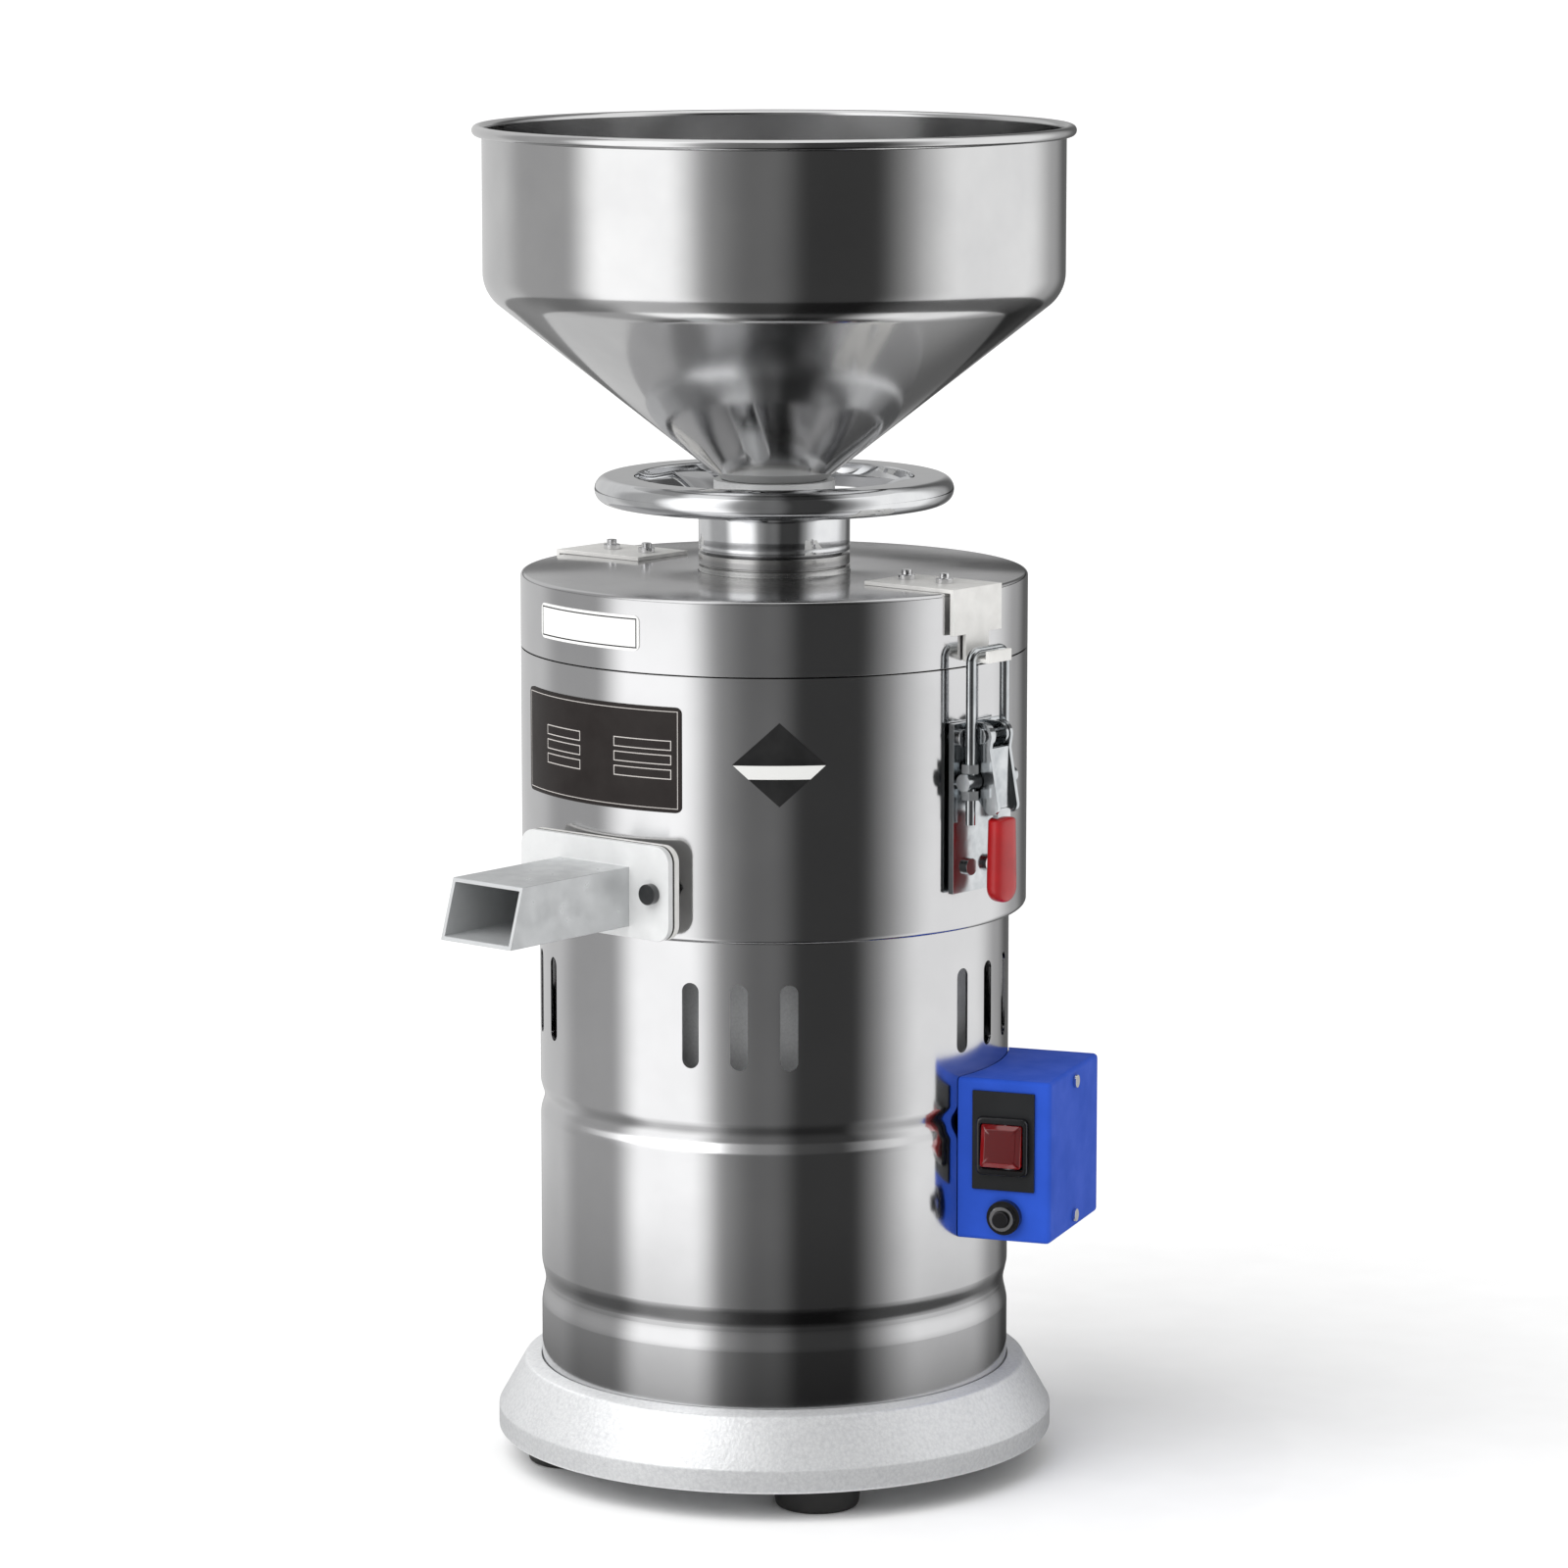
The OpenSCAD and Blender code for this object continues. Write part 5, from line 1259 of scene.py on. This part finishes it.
@dataclass
class LidAssembly(Assembly):
    """Sheet lid with its cast cap, neck, dial ring, straps and label. Sizes in mm."""

    radius: float = 125.5
    sheet: float = 1.2
    low_z: float = 411.6
    top_z: float = 448.0
    edge_r: float = 2.0
    hub_r: float = 37.8
    dial_r: float = 37.5
    dial_in_r: float = 33.5
    dial_z: float = 450.7
    dial_top_z: float = 457.2
    groove: float = 2.0
    groove_h: float = 1.0
    label_bearing: float = -7.2
    label_middle: float = 430.5
    diamond_bearing: float = 41.2
    diamond_middle: float = 369.6

    def profile(self) -> Array:
        """Wall and top of the lid as one bent sheet."""
        inner, under = self.radius - self.sheet, self.top_z - self.sheet
        return filleted(
            [
                (inner, self.low_z, 0.3),
                (self.radius, self.low_z, 0.3),
                (self.radius, self.top_z, self.edge_r),
                (self.hub_r, self.top_z, 0.2),
                (self.hub_r, under, 0.2),
                (inner, under, 0.8),
            ]
        )

    def dial(self) -> Array:
        """Ring between the cap's stub and the hub, with a groove at its foot."""
        foot_r, foot_z = self.dial_r - self.groove, self.dial_z + self.groove_h
        return filleted(
            [
                (self.dial_in_r, self.dial_z, 0.1),
                (foot_r, self.dial_z, 0.1),
                (foot_r, foot_z, 0.1),
                (self.dial_r, foot_z, 0.4),
                (self.dial_r, self.dial_top_z, 0.5),
                (self.dial_in_r, self.dial_top_z, 0.1),
            ]
        )

    def label(
        self, suffix: str, finish: Finish, bearing: float, middle: float, above: bool
    ) -> None:
        """Puts one of the two film labels in the place of their shared CAD node.

        Args:
            suffix: Word added to the node's name.
            finish: The finish.
            bearing: Bearing of its middle, in degrees.
            middle: Height of its middle.
            above: Whether it is the higher one of the two.
        """
        film = merged_copy("blank_labels", f"blank_labels_{suffix}")
        limit = (self.label_middle + self.diamond_middle) / 2 * MM
        work = bmesh.new()
        work.from_mesh(film.data)
        other = [point for point in work.verts if (point.co.z > limit) != above]
        bmesh.ops.delete(work, geom=other, context="VERTS")
        work.to_mesh(film.data)
        work.free()
        face_map(film, bearing, self.radius, middle)
        self.place(film, "blank_labels", finish)

    def build(self) -> None:
        """Lid, cap, dial, straps and labels."""
        self.turned_piece("lid_rolled", "lid", ROLLED_STEEL, self.profile())
        self.place(merged_copy("lid_cap", "lid_cap_turned"), "lid_cap", TURNED_ALUMINIUM)
        # the neck is painted dark grey: painted shade for the gaps of the hub
        self.dress(GREASED_STEEL, "lid_neck")
        self.dress(SILICONE, "lid_gasket")
        self.turned_piece("dial_ring_turned", "dial_ring", TURNED_STEEL, self.dial())
        for side in ("right", "left"):
            self.round_copy(f"latch_strap_{side}", "bent", STRIP_STEEL, 0.35)
        self.round_copy("strap_bolts", "domed", BRIGHT_BOLT, 0.25)
        self.label("white", WHITE_FACE, self.label_bearing, self.label_middle, True)
        self.label("diamond", BLACK_FACE, self.diamond_bearing, self.diamond_middle, False)


@dataclass
class HandwheelAssembly(Assembly):
    """Handwheel that sets the gap: hub, three bent spokes and a ring. Sizes in mm."""

    hub_r: float = 37.5
    low_bore_r: float = 33.5
    high_bore_r: float = 30.05
    hub_z: float = 458.4
    web_z: float = 472.0
    hub_top_z: float = 479.0
    line_h: float = 3.0
    line_depth: float = 0.4
    ring_r: float = 88.8
    ring_in_r: float = 69.0
    ring_z: float = 481.7
    ring_h: float = 13.5
    spokes: int = 3
    spoke_bearing: float = 20.0
    spoke_w: float = 20.0
    spoke_t: float = 4.0
    spoke_edge: float = 1.4

    def hub(self) -> Array:
        """Profile of the hub, with a turned line near its foot.

        Returns:
            The profile's points.
        """
        line_r, line_z = self.hub_r - self.line_depth, self.hub_z + self.line_h
        line_top_z = line_z + self.line_depth
        return filleted(
            [
                (self.low_bore_r, self.hub_z, 0.2),
                (self.hub_r, self.hub_z, 0.5),
                (self.hub_r, line_z, 0.1),
                (line_r, line_z, 0.1),
                (line_r, line_top_z, 0.1),
                (self.hub_r, line_top_z, 0.1),
                (self.hub_r, self.hub_top_z, 1.2),
                (self.high_bore_r, self.hub_top_z, 0.4),
                (self.high_bore_r, self.web_z, 0.2),
                (self.low_bore_r, self.web_z, 0.2),
            ]
        )

    def ring(self) -> Array:
        """Profile of the ring: half round outside, slanted inside below."""
        top, half = self.ring_z + self.ring_h, self.ring_h / 2
        return filleted(
            [
                (self.ring_in_r + half, self.ring_z, 2.5),
                (self.ring_r, self.ring_z, half - 0.01),
                (self.ring_r, top, half - 0.01),
                (self.ring_in_r, top, 1.0),
                (self.ring_in_r, self.ring_z + half, 2.0),
            ],
            14,
        )

    def spoke(self, bearing: float) -> Array:
        """A flat bar that rises from the hub's top to the ring in one smooth S: its height
        is half of one less the cosine.

        Args:
            bearing: The spoke's bearing, in degrees.

        Returns:
            The grid of points.
        """
        t = np.linspace(0, 1, 28)[:, None]
        start_x, end_x = self.hub_r - self.spoke_t, self.ring_in_r + self.ring_h / 4
        low = self.hub_top_z - self.spoke_t / 2
        rise = self.ring_z + self.ring_h / 2 - self.hub_top_z + self.spoke_t
        away = bearing_vector(bearing)
        path = away * (start_x + (end_x - start_x) * t)
        path = path + UP * (low + rise * (1 - np.cos(math.pi * t)) / 2)
        section = block(self.spoke_w / 2, self.spoke_t / 2, self.spoke_edge)
        return swept(section, path, np.cross(UP, away))

    def build(self) -> None:
        """One polished casting of hub, ring and spokes, and the tube that it lifts."""
        grids = [(turned(self.hub()), True), (turned(self.ring()), True)]
        step = 360 / self.spokes
        for i in range(self.spokes):
            grids.append((self.spoke(self.spoke_bearing + step * i), False))
        self.place(closed_piece("handwheel_polished", grids), "handwheel", CHROME)
        self.dress(SATIN_STEEL, "feed_tube")


@dataclass
class HopperAssembly(Assembly):
    """Spun feed hopper with a rolled rim. Sizes in mm."""

    neck_r: float = 25.6
    neck_low_z: float = 480.09
    neck_z: float = 493.09
    wall_r: float = 143.1
    bend_z: float = 585.88
    bend_r: float = 20.0
    rim_z: float = 664.77
    rim_r: float = 2.7
    sheet: float = 1.0

    def side(self) -> Array:
        """Neck, cone and wall as one sheet of even thickness.

        Returns:
            The profile's points.
        """
        slope = (self.bend_z - self.neck_z) / (self.wall_r - self.neck_r)
        lift = self.sheet * math.hypot(1, slope) - self.sheet * slope
        neck_in_r, wall_in_r = self.neck_r - self.sheet, self.wall_r - self.sheet
        return filleted(
            [
                (self.neck_r, self.neck_low_z, 0.3),
                (self.neck_r, self.neck_z, 2.0),
                (self.wall_r, self.bend_z, self.bend_r),
                (self.wall_r, self.rim_z, 0.0),
                (wall_in_r, self.rim_z, 0.0),
                (wall_in_r, self.bend_z + lift, self.bend_r - self.sheet),
                (neck_in_r, self.neck_z + lift, 1.0),
                (neck_in_r, self.neck_low_z, 0.3),
            ],
            16,
        )

    def rim(self) -> Array:
        """Round section of the rolled rim.

        Returns:
            The section's points.
        """
        angle = np.linspace(0, 2 * math.pi, 28, endpoint=False)
        middle = self.wall_r - self.sheet / 2 + self.rim_r
        around, up = self.rim_r * np.cos(angle), self.rim_r * np.sin(angle)
        return np.stack([middle + around, self.rim_z + up], axis=-1)

    def build(self) -> None:
        """Hopper sheet with its rim."""
        self.turned_piece("hopper_spun", "hopper", SPUN_STEEL, self.side(), self.rim())


@dataclass
class ClampAssembly(Assembly):
    """The two toggle clamps that hold the lid down. Sizes in mm, and the shares of the
    grip's length that its round ends and its slimmer part take up."""

    grip_x: float = 143.6
    grip_top_z: float = 339.5
    grip_low_z: float = 297.5
    grip_half_w: float = 8.2
    grip_half_t: float = 5.2
    start_share: float = 0.05
    end_share: float = 0.18
    slim_share: float = 0.7
    slim: float = 0.9
    square: float = 0.7

    def grip(self, side: int) -> Array:
        """Dipped grip: rounded sections stacked down the handle. The section's half width
        swells a little towards the end, and both ends close as a quarter circle does. The
        section is a sine and a cosine raised to a power, which makes a circle squarer.

        Args:
            side: 1 for the right-hand clamp and -1 for the left-hand one.

        Returns:
            The grid of points, height by section point.
        """
        t = np.concatenate([[0], 1 - np.cos(np.linspace(0.02, math.pi, 40)), [2]]) / 2
        height = self.grip_top_z - (self.grip_top_z - self.grip_low_z) * t
        start = 1 - np.minimum(t / self.start_share, 1)
        end = np.clip(1 - (1 - t) / self.end_share, 0, 1)
        ends = np.sqrt(np.clip(1 - start**2, 0, 1)) * np.sqrt(np.clip(1 - end**2, 0, 1))
        swell = self.slim + (1 - self.slim) * np.clip(t / self.slim_share, 0, 1)
        size = (swell * ends)[:, None]
        turn = np.linspace(0, 2 * math.pi, 48, endpoint=False)
        wide, thick = (
            np.sign(wave) * np.abs(wave) ** self.square for wave in (np.cos(turn), np.sin(turn))
        )
        x = side * (self.grip_x + size**0.5 * self.grip_half_t * thick)
        y = size * self.grip_half_w * wide
        return np.stack([x, y, height[:, None] + 0 * x], axis=-1)

    def build(self) -> None:
        """Bases, handles, grips and U bolts."""
        for side, sign in (("right", 1), ("left", -1)):
            self.round_copy(f"clamp_base_{side}", "pressed", ZINC, 0.35)
            self.round_copy(f"clamp_handle_{side}", "pressed", ZINC, 0.35)
            self.round_copy(f"clamp_ubolt_{side}", "bent", ZINC, 0.2)
            grip = closed_piece(f"clamp_grip_{side}_dipped", [(self.grip(sign), False)], 60.0)
            self.place(grip, f"clamp_grip_{side}", RED_VINYL)
        self.round_copy("clamp_pins", "headed", ZINC, 0.2)
        self.round_copy("clamp_screws", "headed", BRIGHT_BOLT, 0.2)


@dataclass
class ControlBoxAssembly(Assembly):
    """Blue switch box with its rocker, reset breaker and gland. Sizes in mm."""

    bearing: float = 110.0
    edge: float = 2.2
    wall_gap: float = 118.5
    reset_out: float = 134.9
    reset_z: float = 139.6
    bush_r: float = 6.3
    rocker_out: float = 133.9
    rocker_side: float = 41.0
    rocker_z: float = 175.0
    rocker_w: float = 20.5
    rocker_h: float = 21.0
    rocker_back: float = 0.5
    rocker_front: float = 6.2
    rocker_corner: float = 1.0
    rocker_chamfer: float = 2.4
    rocker_tilt: float = 7.0
    frame_w: float = 26.3
    frame_h: float = 29.0
    frame_t: float = 3.0
    frame_corner: float = 3.0
    frame_edge: float = 1.0
    plate_ahead: float = 0.5
    gap: float = 0.6
    lip: float = 0.5

    def bright_bush(self, piece: Piece) -> None:
        """Turns the breaker's bush to bright metal: the faces whose points all lie nearer
        to the breaker's axis than the bush's radius.

        Args:
            piece: The breaker.
        """
        out = bearing_vector(self.bearing)
        middle = (out * self.reset_out + UP * self.reset_z) * MM
        from_axis = read(piece.data.vertices, "co", 3) - middle
        away = np.hypot(from_axis @ out, from_axis[:, 2])
        second_finish(piece, BRIGHT_BOLT, away, self.bush_r * MM, farthest=True)

    def switch_loops(
        self, levels: Iterable[tuple[float, float, float, float]], tilt_degrees: float = 0.0
    ) -> Array:
        """Rounded rectangles one in front of the other on the side of the box, tipped
        together about the rocker's pin.

        Args:
            levels: Distance in front of the pin, half width, half height and corner radius
                of each rectangle.
            tilt_degrees: Angle of the tip, in at the top.

        Returns:
            The grid of points, rectangle by point.
        """
        cos, sin = math.cos(math.radians(tilt_degrees)), math.sin(math.radians(tilt_degrees))
        out, side = bearing_vector(self.bearing), bearing_vector(self.bearing - 90)
        rows = []
        for depth, *size in levels:
            x, z = block(*size).T[:, :, None]
            ahead, height = depth * cos - z * sin, z * cos + depth * sin
            row = out * (self.rocker_out + x) + side * (self.rocker_side + ahead)
            rows.append(row + UP * (self.rocker_z + height))
        return np.stack(rows)

    def rocker(self) -> Array:
        """Lens of the rocker: a block whose front is drawn in by a wide chamfer.

        Returns:
            The grid of points.
        """
        half_w, half_h = self.rocker_w / 2, self.rocker_h / 2
        front, draw = self.rocker_front, self.rocker_chamfer
        steps = ((self.rocker_back, 0), (front - draw * 0.75, 0), (front, 1), (front, 2))
        levels = [
            (depth, half_w - draw * step, half_h - draw * step, self.rocker_corner)
            for depth, step in steps
        ]
        return self.switch_loops(levels, self.rocker_tilt)

    def bezel(self) -> Array:
        """Frame round the rocker, with round corners and a rounded front.

        Returns:
            The grid of points.
        """
        half_w, half_h = self.frame_w / 2, self.frame_h / 2
        in_w, in_h = self.rocker_w / 2 + self.gap, self.rocker_h / 2 + self.gap
        back, front = self.plate_ahead, self.plate_ahead + self.frame_t
        edge, lip, corner = self.frame_edge, self.lip, self.frame_corner
        levels = [(back, half_w, half_h, corner)]
        for angle in np.radians([0, 30, 60, 90]):
            ahead, drawn = edge * (1 - math.sin(angle)), edge * (1 - math.cos(angle))
            levels.append((front - ahead, half_w - drawn, half_h - drawn, corner))
        levels += [
            (front, in_w + lip, in_h + lip, 1.2),
            (front - lip, in_w, in_h, 1.0),
            (back, in_w, in_h, 1.0),
        ]
        return self.switch_loops(levels)

    def build(self) -> None:
        """Box, switch and breaker."""
        box = merged_copy("control_box", "control_box_coated")
        round_rims(box, self.edge, self.wall_gap)
        self.place(box, "control_box", BLUE_POWDER)
        self.dress(ZINC, "box_bracket")
        self.dress(CASE_PLASTIC, "run_capacitor")
        self.round_copy("box_screws", "headed", BRIGHT_BOLT, 0.15)
        self.round_copy("switch_plate", "moulded", BLACK_ABS, 0.3)
        bezel = closed_piece("switch_frame_moulded", [(self.bezel(), True)])
        self.place(bezel, "switch_frame", GLOSS_ABS)
        lens = closed_piece("switch_rocker_lens", [(self.rocker(), False)])
        round_edges(lens, 0.3)
        self.place(lens, "switch_rocker", RED_LENS)
        self.bright_bush(self.round_copy("reset_breaker", "moulded", GLOSS_ABS, 0.3))
        self.round_copy("reset_button", "moulded", GLOSS_ABS, 0.4)
        self.round_copy("cable_gland", "moulded", BLACK_ABS, 0.3)


# ---------------------------------------------------------------- studio


class Tent(Enum):
    """The upright cards round the machine. The numbers are the direction in which a wall's
    mirror image of the card's middle lies, measured from the camera's side, half the card's
    width, the width of its soft edge and its light."""

    KEY = (-56.0, 23.0, 20.0, 1.42)
    FRONT_GREY = (-9.0, 13.0, 26.0, 0.17)
    FRONT_FLAG = (26.0, 24.0, 24.0, 0.05)
    FILL = (97.0, 32.0, 26.0, 1.05)
    REAR_DARK = (163.0, 13.0, 18.0, 0.13)
    REAR_PALE = (-150.0, 26.0, 20.0, 0.68)


class FlatRing(Enum):
    """Flat rings of card, which show as lines in the surfaces that face up or down: height,
    inner and outer radius in m, share of the upright cards' light at the same bearing, and
    whether the ring is clear from above."""

    HIGH = (0.47, 0.2, 0.36, 0.3, False)
    LOW = (0.003, 0.15, 0.262, 0.15, False)
    BEAD = (0.24, 0.2, 0.6, 1.9, True)


@dataclass
class Studio:
    """Camera, floor, soft light and a ring of cards that only the polished metal sees.
    Sizes in m."""

    bearing: float = 40.0
    distance: float = 3.0
    camera_z: float = 0.821
    camera_shift: float = 0.0048
    pitch: float = 9.1
    lens: float = 140.2
    tent_low_r: float = 0.26
    tent_r: float = 0.62
    tent_slope: float = 0.6
    tent_bend_z: float = 0.6
    tent_h: float = 1.5
    tent_foot_z: float = 0.08
    tent_foot_share: float = 0.3
    wall_r: float = 0.13
    grey: float = 0.44
    ring_lean: float = 0.55
    room: float = 1.04
    key_share: float = 0.38
    key_energy: float = 2.2
    key_size: float = 64.0
    key_side: float = 52.0
    key_away: float = 2.2
    key_rise: float = 48.0

    def camera(self) -> None:
        """Long lens at the bearing of the photograph, aimed at the middle of the machine."""
        data = bpy.data.cameras.new("camera")
        data.lens = self.lens
        data.sensor_width = 36.0
        data.clip_end = 500.0
        camera = bpy.data.objects.new("camera", data)
        ahead = -bearing_vector(self.bearing)
        place = UP * self.camera_z - ahead * self.distance
        camera.location = (place + np.cross(ahead, UP) * self.camera_shift).tolist()
        tilt = math.radians(90 - self.pitch)
        camera.rotation_euler = (tilt, 0.0, math.radians(self.bearing))
        bpy.context.scene.collection.objects.link(camera)
        bpy.context.scene.camera = camera

    def floor(self) -> None:
        """A wide plain floor."""
        signs = ((-1, -1), (1, -1), (1, 1), (-1, 1))
        mesh = bpy.data.meshes.new("studio_floor")
        mesh.from_pydata([(i * FLOOR, j * FLOOR, 0) for i, j in signs], [], [(0, 1, 2, 3)])
        mesh.materials.append(FLOOR_PAINT.material())
        new_piece(mesh)

    def card_light(self, bearing: Array) -> Array:
        """Light of the ring of cards at each bearing. Each card's share rises from 0 to 1
        over its soft edge as three times the square less twice the cube.

        Args:
            bearing: Bearings in degrees, measured from the camera's side.

        Returns:
            The light at each bearing.
        """
        light = np.full_like(bearing, self.grey)
        for card in Tent:
            middle, half, soft, level = card.value
            away = np.abs((bearing - middle + 180) % 360 - 180)
            t = np.clip((half + soft / 2 - away) / soft, 0, 1)
            light = light + t * t * (3 - 2 * t) * (level - light)
        return light

    def seen_from_wall(self, bearing: Array, radius: Array) -> Array:
        """Gives the mirror direction in which a wall of the machine shows a point of the
        ring of cards. A ray that leaves the wall in direction d meets the ring at d less
        the arc sine of the wall's radius times sin(d / 2) over the ring's radius.

        Args:
            bearing: Bearings of the points in degrees.
            radius: Radius of the ring at each height.

        Returns:
            The direction of each point, height by bearing.
        """
        way = np.linspace(-180, 180, 721)
        near = self.wall_r * np.sin(np.radians(way) / 2)
        met = way[None, :] - np.degrees(np.arcsin(near[None, :] / radius[:, None]))
        return np.array([np.interp(bearing, row, way) for row in met])

    def card(
        self,
        name: str,
        radius: Array,
        height: Array,
        bearing: Array,
        share: Array,
        under: bool = False,
    ) -> None:
        """Makes a ring of card that only glossy surfaces see: each circle of the grid has
        its own radius and height, and the light goes into an attribute.

        Args:
            name: Name of the ring.
            radius: Radius of each circle.
            height: Height of each circle.
            bearing: Bearings in degrees, measured from the camera's side.
            share: Share of the upright cards' light, circle by bearing.
            under: Whether it is clear from above, so that it lights only what lies below.
        """
        angle = np.radians(bearing + self.bearing)
        circle = np.stack([np.sin(angle), -np.cos(angle), 0 * angle], axis=-1)
        points = circle[None] * radius[:, None, None] + UP * height[:, None, None]
        mesh = bpy.data.meshes.new(name)
        faces = grid_faces(len(height), len(angle), False)
        mesh.from_pydata(points.reshape(-1, 3).tolist(), [], faces.tolist())
        mesh.update()
        if (mesh.polygons[0].normal.z < 0) == under:
            mesh.flip_normals()
        light = self.card_light(self.seen_from_wall(bearing, radius)) * share
        layer = mesh.attributes.new("light", "FLOAT", "POINT")
        layer.data.foreach_set("value", light.ravel())
        material = Glow(name + "_lit", under=under).material()
        material.cycles.emission_sampling = "NONE"
        mesh.materials.append(material)
        card = new_piece(mesh)
        for ray in ("camera", "diffuse", "shadow", "volume_scatter"):
            setattr(card, "visible_" + ray, False)

    def cards(self) -> None:
        """Tent of upright cards, which leans out up to a limit and whose light fades
        towards the floor, and the flat rings, whose light fades towards the right."""
        height = np.concatenate([np.linspace(0, self.tent_bend_z, 13), [self.tent_h]])
        radius = np.minimum(self.tent_r, self.tent_low_r + self.tent_slope * height)
        rise = np.clip(height / self.tent_foot_z, 0, 1)[:, None]
        share = self.tent_foot_share + (1 - self.tent_foot_share) * rise
        bearing = np.linspace(-180, 180, 720, endpoint=False)
        self.card("studio_cards", radius, height, bearing, share)
        lean = 1 - self.ring_lean * np.sin(np.radians(bearing[::2]))
        for ring in FlatRing:
            level, inner, outer, share, under = ring.value
            place = np.array([inner, outer]), np.full(2, level), bearing[::2]
            self.card(f"studio_ring_{ring.name.lower()}", *place, share * lean, under)

    def light(self) -> None:
        """Pale room and one very wide soft light from the camera's left. The room gives matt
        surfaces less light than it shows, and the soft light makes that up on the floor."""
        world = bpy.data.worlds.new("studio_room")
        world.use_nodes = True
        tree = world.node_tree
        background = tree.nodes["Background"]
        background.inputs["Color"].default_value = linear("#ffffff")
        matt = add(tree, "LightPath").outputs["Is Diffuse Ray"]
        inputs = {0: matt, 1: -self.key_share, 2: self.room}
        strength = add(tree, "Math", inputs, operation="MULTIPLY_ADD").outputs[0]
        tree.links.new(strength, background.inputs["Strength"])
        bpy.context.scene.world = world
        data = bpy.data.lights.new("soft_light", "SUN")
        data.energy = self.key_energy
        data.angle = math.radians(self.key_size)
        lamp = bpy.data.objects.new("soft_light", data)
        side, tilt = self.bearing - self.key_side, 90 - self.key_rise
        lamp.location = ((bearing_vector(side) + UP) * self.key_away).tolist()
        lamp.rotation_euler = (math.radians(tilt), 0.0, math.radians(side))
        lamp.visible_glossy = False
        bpy.context.scene.collection.objects.link(lamp)
        bpy.context.scene.view_settings.view_transform = "Standard"

    def build(self) -> None:
        """Camera, floor, cards and light."""
        self.camera()
        self.floor()
        self.cards()
        self.light()
        log.info("studio is set")


def main() -> None:
    """Builds the studio and each sub-assembly."""
    logging.basicConfig(level=logging.INFO, format="%(name)s: %(message)s")
    Studio().build()
    assemblies: tuple[Assembly, ...] = (
        BaseAssembly(),
        MotorAssembly(),
        ChamberAssembly(),
        LidAssembly(),
        HandwheelAssembly(),
        HopperAssembly(),
        ClampAssembly(),
        ControlBoxAssembly(),
    )
    for assembly in assemblies:
        assembly.build()
        log.info("%s is built", type(assembly).__name__)


if __name__ == "__main__":
    main()
